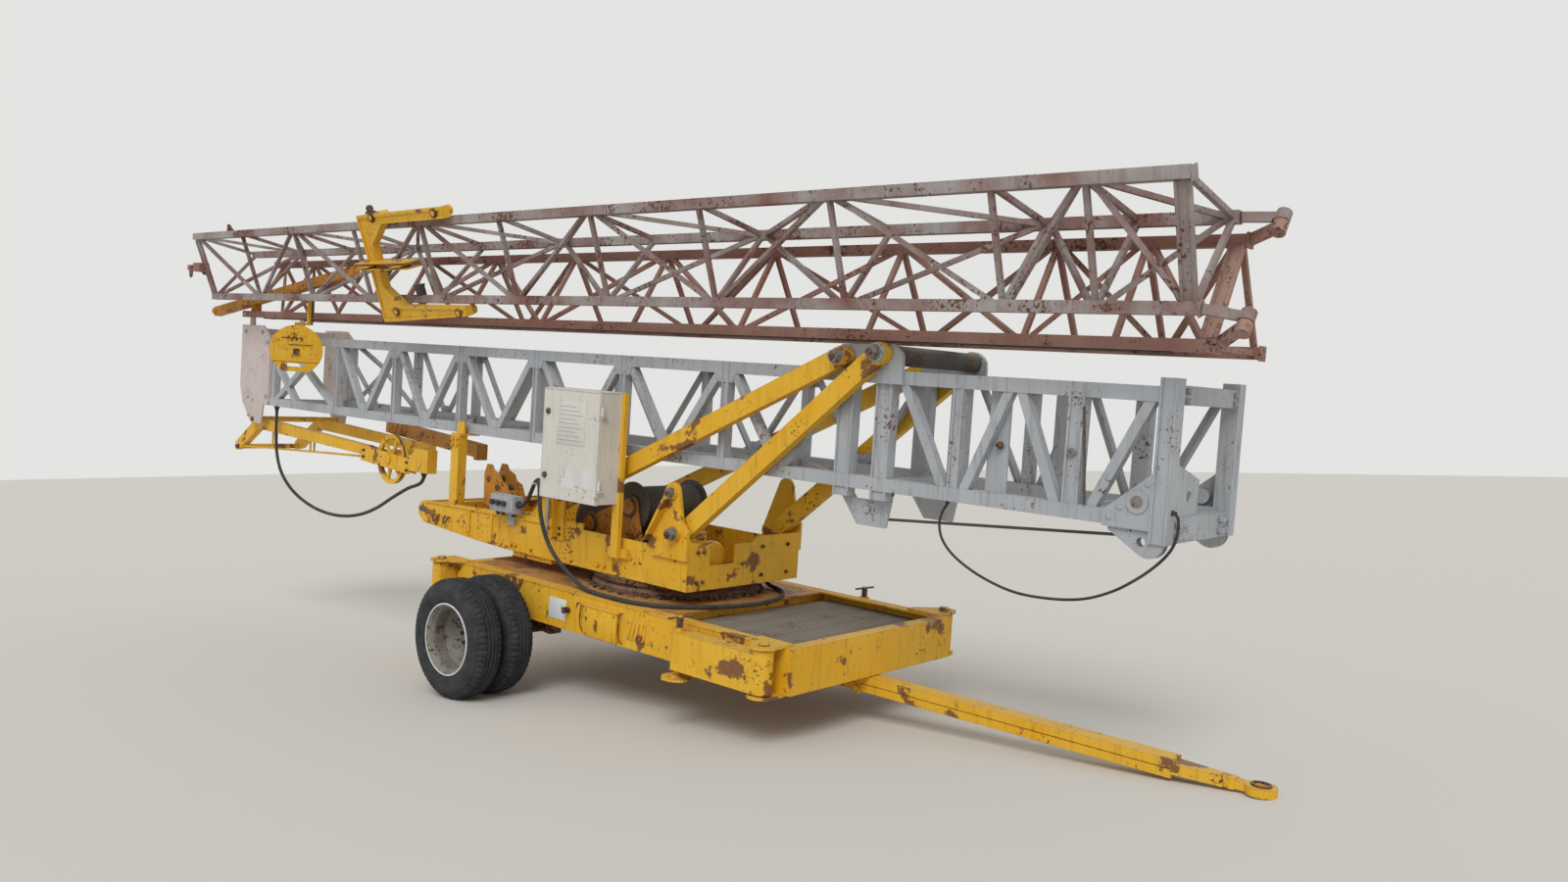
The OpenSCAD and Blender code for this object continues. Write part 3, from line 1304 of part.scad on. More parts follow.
foot_cable_r = 7;
foot_cable_points = [[mast_front, -375, 1700], [4308, -375, 1694], [4322, -375, 1670], [4322, -375, 1600], [4298, -375, 1530],
    [4240, -375, 1456], [4150, -375, 1376], [4034, -375, 1298], [3890, -375, 1238], [3715, -375, 1210], [3520, -375, 1210],
    [3330, -375, 1256], [3175, -375, 1328], [3090, -375, 1405], [3062, -375, 1485], [3074, -375, 1550], [3096, -375, 1588],
    [3102, -375, mast_low]];

module foot_cable() {
    color("dimgray") parked() cable(foot_cable_points, foot_cable_r, [1, 0, 0], [0, 0, 1], [0.25, 1, 0.1]);
}

rear_cable_r = 14;
rear_cable_points = [[-1880, -296, 1240], [-1888, -296, 1190], [-1925, -296, 1150], [-1995, -297, 1122], [-2110, -297, 1085],
    [-2330, -298, 985], [-2560, -300, 872], [-2800, -302, 788], [-3060, -304, 738], [-3330, -308, 724], [-3600, -316, 748],
    [-3850, -328, 812], [-4040, -342, 905], [-4170, -356, 1030], [-4235, -366, 1190], [-4255, -370, 1370], [-4252, -373, 1520],
    [-4250, -374, mast_low]];

module rear_cable() {
    color("dimgray") parked() cable(rear_cable_points, rear_cable_r, [0, 0, -1], [0, 0, 1], [0.1, 1, 0]);
}

chassis_frame();
chassis_deck();
axle_beam();
drawbar();
lower_ring();
outrigger_front_near();
outrigger_front_far();
outrigger_rear_near();
outrigger_rear_far();
near_tyres();
near_rims();
far_tyres();
far_rims();
platform();
upper_ring();
platform_lugs();
mast_posts();
hoist_drum();
drum_frame();
gear_motor();
cabinet();
cabinet_post();
junction_box();
cabinet_door();
short_arms();
long_arms();
mast_near_side();
mast_far_side();
mast_top();
mast_bottom();
mast_foot();
mast_head();
arm_lugs();
rear_strut();
guide_pulley();
strut_beam();
jib_root_base();
jib_root_near();
jib_root_far();
jib_root_end();
head_strut();
jib_tip_base();
jib_tip_upper();
jib_tip_lower();
jib_tip_end();
tip_bracket();
trolley();
hook_block();
deck_cable();
foot_cable();
rear_cable();
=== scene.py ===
"""Dresses the folded tower crane: finishes, ropes, cables, bolts, tyres and the studio around it."""

from __future__ import annotations

import json
import logging
import math
from dataclasses import dataclass
from enum import Enum
from functools import cache
from typing import Any, Sequence

import bmesh
import bpy
from mathutils import Matrix, Vector

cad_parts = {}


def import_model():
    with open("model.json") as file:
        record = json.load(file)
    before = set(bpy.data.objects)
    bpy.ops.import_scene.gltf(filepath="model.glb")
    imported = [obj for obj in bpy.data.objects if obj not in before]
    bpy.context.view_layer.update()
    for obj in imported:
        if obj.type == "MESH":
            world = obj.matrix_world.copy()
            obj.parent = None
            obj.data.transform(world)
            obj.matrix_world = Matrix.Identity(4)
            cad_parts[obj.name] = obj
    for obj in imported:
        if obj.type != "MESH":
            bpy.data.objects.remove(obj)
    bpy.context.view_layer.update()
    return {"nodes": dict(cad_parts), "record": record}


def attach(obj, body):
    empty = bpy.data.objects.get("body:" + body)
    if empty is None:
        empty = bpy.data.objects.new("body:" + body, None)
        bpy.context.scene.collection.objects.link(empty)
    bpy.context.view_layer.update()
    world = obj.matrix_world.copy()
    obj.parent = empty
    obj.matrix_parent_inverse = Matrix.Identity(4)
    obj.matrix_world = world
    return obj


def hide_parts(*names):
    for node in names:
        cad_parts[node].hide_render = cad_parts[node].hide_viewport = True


LOG = logging.getLogger("crane")
MM_PER_M = 1000.0
SIDES = (-1, 1)
PLATFORM = "slewing_platform"
Point = tuple[float, float, float]
Pair = tuple[float, float]
Socket = bpy.types.NodeSocket
Tree = bpy.types.NodeTree


@dataclass(frozen=True)
class Stance:
    """How the level crane is set down on its wheels and tow eye, with the part's own sizes in millimetres."""

    tyre_r: float = 385.0
    eye_x: float = 4665.0
    eye_r: float = 72.0
    eye_t: float = 40.0
    drawbar_z: float = 448.0
    x_mid: float = -129.71512

    @property
    def nose_down(self) -> float:
        """Find how far the chassis tips towards its tow eye.

        Returns:
            The angle in radians.
        """
        low = self.drawbar_z - self.eye_t / 2 - self.tyre_r
        reach = self.eye_x + self.eye_r
        return math.atan2(low, reach) + math.asin(self.tyre_r / math.hypot(low, reach))

    def park(self, x: float, y: float, z: float) -> Vector:
        """Turn a point of the level crane into the row frame.

        Args:
            x: Distance along the crane in millimetres.
            y: Distance across the crane in millimetres.
            z: Height over the tyre contact plane in millimetres.

        Returns:
            The parked point in metres.
        """
        c, s, h = math.cos(self.nose_down), math.sin(self.nose_down), z - self.tyre_r
        return Vector((x * c + h * s - self.x_mid, y, -x * s + h * c + self.tyre_r)) / MM_PER_M

    def turn(self, direction: Sequence[float]) -> Vector:
        """Turn a direction of the level crane into the row frame.

        Args:
            direction: Shares along, across and up.

        Returns:
            The turned direction.
        """
        c, s = math.cos(self.nose_down), math.sin(self.nose_down)
        x, y, z = direction
        return Vector((x * c + z * s, y, -x * s + z * c))


STANCE = Stance()


def linear(code: str) -> tuple[float, float, float, float]:
    """Turn an sRGB hex value into a linear colour.

    Args:
        code: Six hex digits with a leading hash.

    Returns:
        Red, green, blue and an alpha of one.
    """
    parts = [int(code[i : i + 2], 16) / 255 for i in (1, 3, 5)]
    r, g, b = (p / 12.92 if p <= 0.04045 else ((p + 0.055) / 1.055) ** 2.4 for p in parts)
    return (r, g, b, 1.0)


def add_node(tree: Tree, kind: str, inputs: dict[str | int, Any] | None = None, out: str | int = 0,
             stops: Sequence[Pair] = (), **settings: Any) -> Socket | None:
    """Add a node with its settings, its values and its links.

    Args:
        tree: The node tree that gets the node.
        kind: The node's class name.
        inputs: Values, output sockets or lists of them by input name or number.
        out: Name or number of the output that is wanted.
        stops: Places and greys of a colour ramp's two stops.
        settings: Attributes to set on the node.

    Returns:
        That output, or None where the node has no output.
    """
    node = tree.nodes.new(kind)
    for key, value in settings.items():
        setattr(node, key, value)
    for stop, (place, grey) in zip(node.color_ramp.elements if stops else (), stops):
        stop.position, stop.color = place, (grey, grey, grey, 1.0)
    for key, value in (inputs or {}).items():
        for source in value if isinstance(value, list) else [value]:
            if isinstance(source, Socket):
                tree.links.new(source, node.inputs[key])
            else:
                node.inputs[key].default_value = source
    return node.outputs[out] if node.outputs else None


def stain(tree: Tree, source: Socket, low: Pair, high: Pair, under: Any, over: str) -> tuple[Socket, Socket]:
    """Lay a colour over another one where a pattern is strong.

    Args:
        tree: The material's tree.
        source: The pattern.
        low: The pattern's strength where the upper colour starts, and its share there.
        high: The pattern's strength where it is full, and its share there.
        under: The colour below, as a socket or a linear colour.
        over: Hex value of the colour above.

    Returns:
        The share of the upper colour, and the mixed colour.
    """
    share = add_node(tree, "ShaderNodeValToRGB", {0: source}, stops=(low, high))
    return share, add_node(tree, "ShaderNodeMix", {0: share, 6: under, 7: linear(over)}, 2, data_type="RGBA")


@dataclass(frozen=True)
class Coating:
    """A finish by its name and the record's slot that it fills."""

    name: str
    slot: str

    def shade(self, tree: Tree, place: Socket) -> Socket:
        """Return the shader of the finish on the given coordinates."""
        raise NotImplementedError

    def build(self) -> bpy.types.Material:
        """Build the material's nodes.

        Returns:
            The finished material.
        """
        mat = bpy.data.materials.new(self.name)
        mat.use_nodes = True
        tree = mat.node_tree
        tree.nodes.clear()
        shader = self.shade(tree, add_node(tree, "ShaderNodeTexCoord", out="Object"))
        add_node(tree, "ShaderNodeOutputMaterial", {0: shader})
        return mat


@dataclass(frozen=True)
class SteelPaint(Coating):
    """Weathered paint or bare steel: faded patches, run-down streaks, chips to rust and settled dust.

    Sizes are in millimetres; shares run from 0 to 1.
    """

    paint: str
    faded: str
    under: str
    rust: str
    scab: str = "#7d4c33"
    dust: str = "#8c8576"
    patch_mm: float = 260.0
    patch_share: float = 0.5
    streak_mm: float = 30.0
    streak_share: float = 0.35
    chip_mm: float = 22.0
    chip_share: float = 0.12
    scab_mm: float = 190.0
    scab_share: float = 0.0
    edge_mm: float = 6.0
    edge_share: float = 0.0
    dust_share: float = 0.35
    roughness: float = 0.55
    metallic: float = 0.0
    bump_mm: float = 0.4

    def shade(self, tree: Tree, place: Socket) -> Socket:
        """Build the paint's layers from the sound coat up.

        Args:
            tree: The material's tree.
            place: Coordinates of the piece.

        Returns:
            The shader.
        """
        # Sun-bleached patches, about a hand to an arm across
        patch = add_node(tree, "ShaderNodeTexNoise",
                         {"Vector": place, "Scale": MM_PER_M / self.patch_mm, "Detail": 5.0, "Roughness": 0.6})
        fade, colour = stain(tree, patch, (0.35, 0.0), (0.68, self.patch_share), linear(self.paint), self.faded)
        # Streaks that rain draws down the surface
        squeezed = add_node(tree, "ShaderNodeMapping", {0: place, 3: (1.0, 1.0, 0.09)})
        streak = add_node(tree, "ShaderNodeTexNoise",
                          {"Vector": squeezed, "Scale": MM_PER_M / self.streak_mm, "Detail": 4.0, "Roughness": 0.65})
        _, colour = stain(tree, streak, (0.52, 0.0), (0.72, self.streak_share), colour, self.under)
        # Chips come in clusters where the steel was knocked
        cluster = add_node(tree, "ShaderNodeTexNoise",
                           {"Vector": place, "Scale": MM_PER_M / (self.patch_mm * 0.6), "Detail": 3.0})
        chips = add_node(tree, "ShaderNodeTexNoise",
                         {"Vector": place, "Scale": MM_PER_M / self.chip_mm, "Detail": 7.0, "Roughness": 0.7})
        both = add_node(tree, "ShaderNodeMath", {0: cluster, 1: 0.55, 2: chips}, operation="MULTIPLY_ADD")
        # The larger the share, the weaker a pattern is enough
        edge = 0.98 - 0.42 * self.chip_share
        bare, colour = stain(tree, both, (edge - 0.02, 0.0), (edge + 0.02, 1.0), colour, self.rust)
        # Scabs where rust has lifted whole sheets of paint
        scab = add_node(tree, "ShaderNodeTexNoise",
                        {"Vector": place, "Scale": MM_PER_M / self.scab_mm, "Detail": 9.0, "Roughness": 0.62})
        limit = 0.9 - 0.32 * self.scab_share
        _, colour = stain(tree, scab, (limit - 0.01, 0.0), (limit + 0.01, 0.9), colour, self.scab)
        # Edges, where paint is thin and wears first
        normal = add_node(tree, "ShaderNodeNewGeometry", out="Normal")
        eased = add_node(tree, "ShaderNodeBevel", {0: self.edge_mm / MM_PER_M}, samples=4)
        flat = add_node(tree, "ShaderNodeVectorMath", {0: normal, 1: eased}, "Value", operation="DOT_PRODUCT")
        near = add_node(tree, "ShaderNodeMath", {0: flat, 1: -1.6, 2: 1.42}, operation="MULTIPLY_ADD")
        broken = add_node(tree, "ShaderNodeMath", {0: streak, 1: 1.5, 2: near}, operation="MULTIPLY_ADD")
        _, colour = stain(tree, broken, (0.86, 0.0), (0.95, self.edge_share), colour, self.scab)
        # Dust lies on what faces up
        up = add_node(tree, "ShaderNodeSeparateXYZ", {0: normal}, 2)
        _, colour = stain(tree, up, (0.35, 0.0), (0.95, self.dust_share), colour, self.dust)
        # Chalked paint and bare rust are duller, and a chip lies lower
        dull = add_node(tree, "ShaderNodeMath", {0: fade, 1: 0.18, 2: self.roughness}, operation="MULTIPLY_ADD")
        rough = add_node(tree, "ShaderNodeMath", {0: bare, 1: 0.25, 2: dull}, operation="MULTIPLY_ADD",
                         use_clamp=True)
        height = add_node(tree, "ShaderNodeMath", {0: bare, 1: -0.6, 2: patch}, operation="MULTIPLY_ADD")
        bump = add_node(tree, "ShaderNodeBump",
                        {"Height": height, "Distance": self.bump_mm / MM_PER_M, "Strength": 0.6})
        return add_node(tree, "ShaderNodeBsdfPrincipled",
                        {"Base Color": colour, "Roughness": rough, "Metallic": self.metallic, "Normal": bump})


@dataclass(frozen=True)
class Rubber(Coating):
    """Weathered rubber: grey bloom, road dust and fine crazing."""

    black: str
    bloom: str
    dust: str
    bloom_mm: float = 70.0
    craze_mm: float = 6.0
    bump_mm: float = 0.6
    roughness: float = 0.82

    def shade(self, tree: Tree, place: Socket) -> Socket:
        """Build the rubber's layers.

        Args:
            tree: The material's tree.
            place: Coordinates of the piece.

        Returns:
            The shader.
        """
        bloom = add_node(tree, "ShaderNodeTexNoise",
                         {"Vector": place, "Scale": MM_PER_M / self.bloom_mm, "Detail": 6.0, "Roughness": 0.65})
        _, colour = stain(tree, bloom, (0.38, 0.0), (0.7, 0.8), linear(self.black), self.bloom)
        craze = add_node(tree, "ShaderNodeTexNoise",
                         {"Vector": place, "Scale": MM_PER_M / self.craze_mm, "Detail": 4.0})
        _, colour = stain(tree, craze, (0.55, 0.0), (0.75, 0.5), colour, self.dust)
        bump = add_node(tree, "ShaderNodeBump",
                        {"Height": craze, "Distance": self.bump_mm / MM_PER_M, "Strength": 0.5})
        return add_node(tree, "ShaderNodeBsdfPrincipled",
                        {"Base Color": colour, "Roughness": self.roughness, "Normal": bump})


class Finish(Enum):
    """Every finish on the crane."""

    # Chalked signal-yellow enamel over red primer: matt, streaked with rust
    YELLOW = SteelPaint("chalked_yellow_enamel", "yellow", "#dfa812", "#e6bd42", "#a06a1a", "#5a2f1d",
                        scab="#6f402b", patch_mm=340.0, streak_share=0.45, chip_share=0.11, scab_mm=240.0,
                        scab_share=0.93, edge_share=0.9, dust_share=0.2)
    # The same enamel where rust has stained most of it ochre
    OCHRE = SteelPaint("rust_stained_yellow_enamel", "yellow", "#b97b1f", "#cd9232", "#83501f", "#5a2f1d",
                       scab="#6e4026", streak_share=0.8, chip_share=0.26, scab_share=0.95, edge_share=0.9,
                       dust_share=0.25)
    # Dull aluminium paint on the mast: cool grey with brown stains
    SILVER = SteelPaint("dull_aluminium_paint", "silver", "#a2a7ad", "#bcbfc2", "#7b7a76", "#6a4a38",
                        scab="#7b6a60", patch_mm=420.0, streak_share=0.55, chip_share=0.12, edge_share=0.5,
                        roughness=0.5, dust_share=0.2)
    # Red-brown primer that shows grey paint where it wasn't touched up
    PRIMER = SteelPaint("red_brown_primer", "primer", "#8a5a4c", "#a58578", "#6e5248", "#4e3026",
                        scab="#a59a92", patch_mm=600.0, patch_share=0.9, chip_share=0.2, scab_share=0.5,
                        edge_share=0.5, roughness=0.65, dust_share=0.2)
    # Weathered cream enamel on the switch cabinet: even, with a few chips
    CREAM = SteelPaint("weathered_cream_enamel", "cream", "#cfcdc4", "#dcdad3", "#a2967f", "#6d4a2f",
                       chip_share=0.08, edge_share=0.5, roughness=0.5, dust_share=0.3)
    # Dark plate that oil and dirt have dulled; the tail's slot borrows it as painted shade
    DECK = SteelPaint("oiled_deck_plate", "deck", "#4b4a48", "#6a6863", "#3a3330", "#5a3f30",
                      chip_share=0.3, roughness=0.7, dust_share=0.5)
    # Rusted bare steel: brown with darker scale
    RUST = SteelPaint("rusted_steel", "rust", "#6a4a36", "#84644c", "#4a3226", "#3c2419",
                      patch_mm=160.0, chip_share=0.4, roughness=0.85, dust_share=0.3)
    # Pale wheel paint under brake dust and mud
    RIM = SteelPaint("dirty_wheel_paint", "rim", "#75716a", "#969187", "#57493d", "#4e3c30", scab="#5f4a3c",
                     patch_mm=110.0, chip_share=0.3, scab_mm=90.0, scab_share=0.75, roughness=0.6, dust_share=0.3)
    # Greased wire rope, brown-black in the lay
    ROPE = SteelPaint("greased_wire_rope", "rope", "#4d4842", "#6b655c", "#3a342e", "#5a4230",
                      patch_mm=120.0, chip_share=0.2, roughness=0.5, metallic=0.4, dust_share=0.1)
    # Pinkish undercoat on the mast's head plate, chalked pale
    HEAD = SteelPaint("chalked_pink_undercoat", "silver", "#c3b4b0", "#cfc9c6", "#a07f76", "#7a4f44",
                      scab="#9b6a5e", patch_mm=330.0, chip_share=0.1, scab_share=0.55, edge_share=0.7,
                      roughness=0.6, dust_share=0.1)
    # Weathered boards, grey-brown with damp
    BOARD = SteelPaint("weathered_boards", "deck", "#6e675c", "#857d70", "#4d463d", "#3f372f", scab="#575045",
                       patch_mm=300.0, chip_share=0.2, scab_share=0.6, roughness=0.85, dust_share=0.3)
    # White plastic label that the sun has faded, with no print left
    LABEL = SteelPaint("sun_faded_label", "cream", "#d9dbda", "#c9cccb", "#b3aea2", "#8a7a66",
                       patch_mm=90.0, chip_share=0.0, streak_share=0.15, roughness=0.45, dust_share=0.1)
    # Grey paint on the jib tip, worn through to red-brown primer along the steel
    WORN = SteelPaint("worn_grey_over_primer", "primer", "#9d9895", "#7d564e", "#6b4a42", "#5a382d",
                      patch_mm=380.0, patch_share=1.0, streak_share=0.5, chip_share=0.25, roughness=0.6,
                      dust_share=0.15)
    # Dry tyre rubber, blue-grey where the bloom has come out
    TYRE = Rubber("worn_tyre_rubber", "tyre", "#1d1e21", "#3c3e43", "#66625a")
    # Black cable sheath, dusty where it has lain on the deck
    CABLE = Rubber("black_cable_sheath", "sheath", "#29282a", "#4b4846", "#6b665c", bloom_mm=120.0)

    @property
    def material(self) -> bpy.types.Material:
        """The finish's material, built on first use."""
        return bpy.data.materials.get(self.value.name) or self.value.build()

    def paint(self, obj: bpy.types.Object) -> None:
        """Give a whole piece this finish."""
        obj.data.materials.clear()
        obj.data.materials.append(self.material)


def settle(mesh: bpy.types.Mesh, name: str, body: str, finish: Finish,
           smooth_deg: float = 35.0) -> bpy.types.Object:
    """Make a mesh in the row frame a finished piece on its body.

    Args:
        mesh: The mesh, with its place in its points.
        name: The piece's plain name.
        body: The body that carries it.
        finish: Its finish.
        smooth_deg: Edges flatter than this are shaded smooth.

    Returns:
        The finished piece.
    """
    mesh.shade_smooth()
    mesh.set_sharp_from_angle(angle=math.radians(smooth_deg))
    obj = bpy.data.objects.new(name, mesh)
    bpy.context.scene.collection.objects.link(obj)
    finish.paint(obj)
    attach(obj, body)
    LOG.info("%s rides on %s", name, body)
    return obj


def arc(count: int, radius: float = 1.0, start: float = 0.0, step: float = 0.0) -> list[Pair]:
    """Set points out on a circle.

    Args:
        count: Number of points.
        radius: Radius of the circle.
        start: Angle of the first point in radians.
        step: Angle between two points; none spreads them all round.

    Returns:
        The points' places from the middle.
    """
    turns = (start + (step * k if step else 2 * math.pi * k / count) for k in range(count))
    return [(radius * math.cos(turn), radius * math.sin(turn)) for turn in turns]


def smooth_route(points: Sequence[Sequence[float]], steps: int) -> list[Vector]:
    """Run one smooth curve through a route's points, as the part's own cables do.

    Args:
        points: The points that the curve passes.
        steps: Pieces between two of them.

    Returns:
        The finer points of the curve.
    """
    p = [Vector(q) for q in points]
    p = [2 * p[0] - p[1], *p, 2 * p[-1] - p[-2]]
    route = []
    for a, b, c, d in zip(p, p[1:], p[2:], p[3:]):
        for k in range(steps):
            t = k / steps
            route.append(0.5 * (2 * b + (c - a) * t + (2 * a - 5 * b + 4 * c - d) * t * t
                                + (3 * b - a - 3 * c + d) * t * t * t))
    return [*route, p[-2]]


class Form:
    """Gathers faces in the level crane's own millimetres and hands them over as one parked piece."""

    # A pole starts this wide, so that its ring keeps its order until its points are welded
    pole_mm = 0.01
    weld_m = 5e-5

    def __init__(self) -> None:
        """Start empty."""
        self._verts: list[Sequence[float]] = []
        self._faces: list[tuple[int, ...]] = []

    def loft(self, rings: Sequence[Sequence[Sequence[float]]], closed: bool = False) -> None:
        """Join rings of points by faces.

        Args:
            rings: Rings that all have the same number of points.
            closed: Whether the last ring meets the first; if not, both ends get a lid.
        """
        n, m, base = len(rings[0]), len(rings), len(self._verts)
        faces: list[Sequence[int]] = [] if closed else [range(n), range((m - 1) * n, m * n)]
        faces += [(k * n + i, k * n + (i + 1) % n, (k + 1) % m * n + (i + 1) % n, (k + 1) % m * n + i)
                  for k in range(m if closed else m - 1) for i in range(n)]
        self._verts += [tuple(point) for ring in rings for point in ring]
        self._faces += [tuple(base + i for i in face) for face in faces]

    def prism(self, outline: Sequence[Pair], y0: float, y1: float) -> None:
        """Raise an outline that is seen from the side into a plate from y0 to y1."""
        self.loft([[(x, y, z) for x, z in outline] for y in (y0, y1)])

    def box(self, low: Point, high: Point) -> None:
        """Add a straight box by two opposite corners."""
        (x0, y0, z0), (x1, y1, z1) = low, high
        self.prism([(x0, z0), (x1, z0), (x1, z1), (x0, z1)], y0, y1)

    def slab(self, corner: Vector, a: Vector, b: Vector, c: Vector) -> None:
        """Add a slanted block by one corner and its three edges."""
        ring = [corner, corner + a, corner + a + b, corner + b]
        self.loft([ring, [point + c for point in ring]])

    def lathe(self, profile: Sequence[Pair], at: Sequence[float], axis: Sequence[float], sides: int = 32) -> None:
        """Turn a closed profile about an axis.

        Args:
            profile: Pairs of distance along the axis and radius, which run once round the section.
            at: Where the axis starts.
            axis: Its direction.
            sides: Number of faces round it.
        """
        way = Vector(axis).normalized()
        side = way.orthogonal().normalized()
        top = way.cross(side)
        rings = []
        for c, s in arc(sides):
            out = side * c + top * s
            rings.append([Vector(at) + way * h + out * max(r, self.pole_mm) for h, r in profile])
        self.loft(rings, closed=True)

    def rod(self, start: Sequence[float], end: Sequence[float], r: float, sides: int = 16, edge: float = 1.5) -> None:
        """Add a round rod between two points.

        Args:
            start: Middle of one end.
            end: Middle of the other end.
            r: Radius of the rod.
            sides: Number of faces round it.
            edge: How far its two edges are broken.
        """
        way = Vector(end) - Vector(start)
        long = way.length
        self.lathe([(0, 0), (0, r - edge), (edge, r), (long - edge, r), (long, r - edge), (long, 0)], start, way, sides)

    def tube(self, route: Sequence[Point], radius: float, sides: int = 10, steps: int = 4) -> None:
        """Sweep a round section along a smoothed route, with closed ends.

        Args:
            route: Points that the middle of the tube passes.
            radius: Radius of the tube.
            sides: Number of faces round it.
            steps: Pieces of the curve between two points.
        """
        points = smooth_route(route, steps)
        last = len(points) - 1
        side = (points[1] - points[0]).orthogonal().normalized()
        rings = []
        for i, point in enumerate(points):
            way = (points[min(i + 1, last)] - points[max(i - 1, 0)]).normalized()
            side = (side - way * side.dot(way)).normalized()
            top = way.cross(side)
            rings.append([point + radius * (side * c + top * s) for c, s in arc(sides)])
        self.loft(rings)

    def piece(self, name: str, body: str, finish: Finish, ease: float = 0.0,
              smooth_deg: float = 35.0) -> bpy.types.Object:
        """Park the shape and make it a piece that rides on a body.

        Args:
            name: The piece's plain name.
            body: The body that carries it.
            finish: Its finish.
            ease: How far its edges are broken, in millimetres.
            smooth_deg: Edges flatter than this are shaded smooth.

        Returns:
            The finished piece.
        """
        mesh = bpy.data.meshes.new(name)
        mesh.from_pydata([STANCE.park(*v) for v in self._verts], [], self._faces)
        shape = bmesh.new()
        shape.from_mesh(mesh)
        bmesh.ops.remove_doubles(shape, verts=shape.verts, dist=self.weld_m)
        bmesh.ops.recalc_face_normals(shape, faces=shape.faces)
        if ease > 0:
            bmesh.ops.bevel(shape, geom=shape.edges, offset=ease / MM_PER_M, segments=2, profile=0.5,
                            affect="EDGES", clamp_overlap=True)
        shape.to_mesh(mesh)
        shape.free()
        return settle(mesh, name, body, finish, smooth_deg)


class NodeForm:
    """A Geometry Nodes tree that turns a seed's points or edges into a repeated shape."""

    def __init__(self, name: str, finish: Finish, sizes: dict[str, float]) -> None:
        """Open the tree with its named sizes.

        Args:
            name: The tree's name.
            finish: The finish of what it makes.
            sizes: Every named input and its value in metres, or in shares of a bolt's size.
        """
        self.finish = finish
        self.tree = bpy.data.node_groups.new(name, "GeometryNodeTree")
        sockets = self.tree.interface
        for way in ("INPUT", "OUTPUT"):
            sockets.new_socket("Geometry", in_out=way, socket_type="NodeSocketGeometry")
        self._sizes = {sockets.new_socket(key, in_out="INPUT", socket_type="NodeSocketFloat").identifier: value
                       for key, value in sizes.items()}
        self.given = self.tree.nodes.new("NodeGroupInput").outputs

    def facing(self) -> Socket:
        """Return the rotation that turns Z to each point's way."""
        way = add_node(self.tree, "GeometryNodeInputNamedAttribute", {"Name": "way"}, data_type="FLOAT_VECTOR")
        return add_node(self.tree, "FunctionNodeAlignRotationToVector", {"Vector": way}, axis="Z")

    def close(self, geometry: Socket) -> None:
        """End the tree in real geometry with its material.

        Args:
            geometry: What the tree has made.
        """
        real = add_node(self.tree, "GeometryNodeRealizeInstances", {0: geometry})
        dressed = add_node(self.tree, "GeometryNodeSetMaterial", {0: real, "Material": self.finish.material})
        add_node(self.tree, "NodeGroupOutput", {0: dressed})

    def grow(self, name: str, body: str, points: Sequence[Vector], edges: Sequence[tuple[int, int]] = (),
             smooth_deg: float = 50.0, **marks: Sequence[Any]) -> bpy.types.Object:
        """Run the tree on a seed and keep the result as a piece with a plain mesh.

        Args:
            name: The piece's plain name.
            body: The body that carries it.
            points: The seed's points in the row frame.
            edges: The seed's edges.
            smooth_deg: Edges flatter than this are shaded smooth.
            marks: Numbers or vectors for the points, by attribute.

        Returns:
            The finished piece.
        """
        seed = bpy.data.meshes.new(f"{name}_seed")
        seed.from_pydata(points, edges, [])
        for key, values in marks.items():
            kind, field = ("FLOAT_VECTOR", "vector") if isinstance(values[0], Vector) else ("FLOAT", "value")
            for item, value in zip(seed.attributes.new(key, kind, "POINT").data, values):
                setattr(item, field, value)
        host = bpy.data.objects.new(f"{name}_seed", seed)
        bpy.context.scene.collection.objects.link(host)
        modifier = host.modifiers.new("grow", "NODES")
        modifier.node_group = self.tree
        for identifier, value in self._sizes.items():
            modifier[identifier] = value
        depsgraph = bpy.context.evaluated_depsgraph_get()
        mesh = bpy.data.meshes.new_from_object(host.evaluated_get(depsgraph), depsgraph=depsgraph)
        mesh.name = name
        bpy.data.objects.remove(host)
        return settle(mesh, name, body, self.finish, smooth_deg)


@dataclass(frozen=True)
class Bolt:
    """Where a bolt head sits on the level crane, which way it faces and how wide it is."""

    at: Point
    way: Point
    across_mm: float


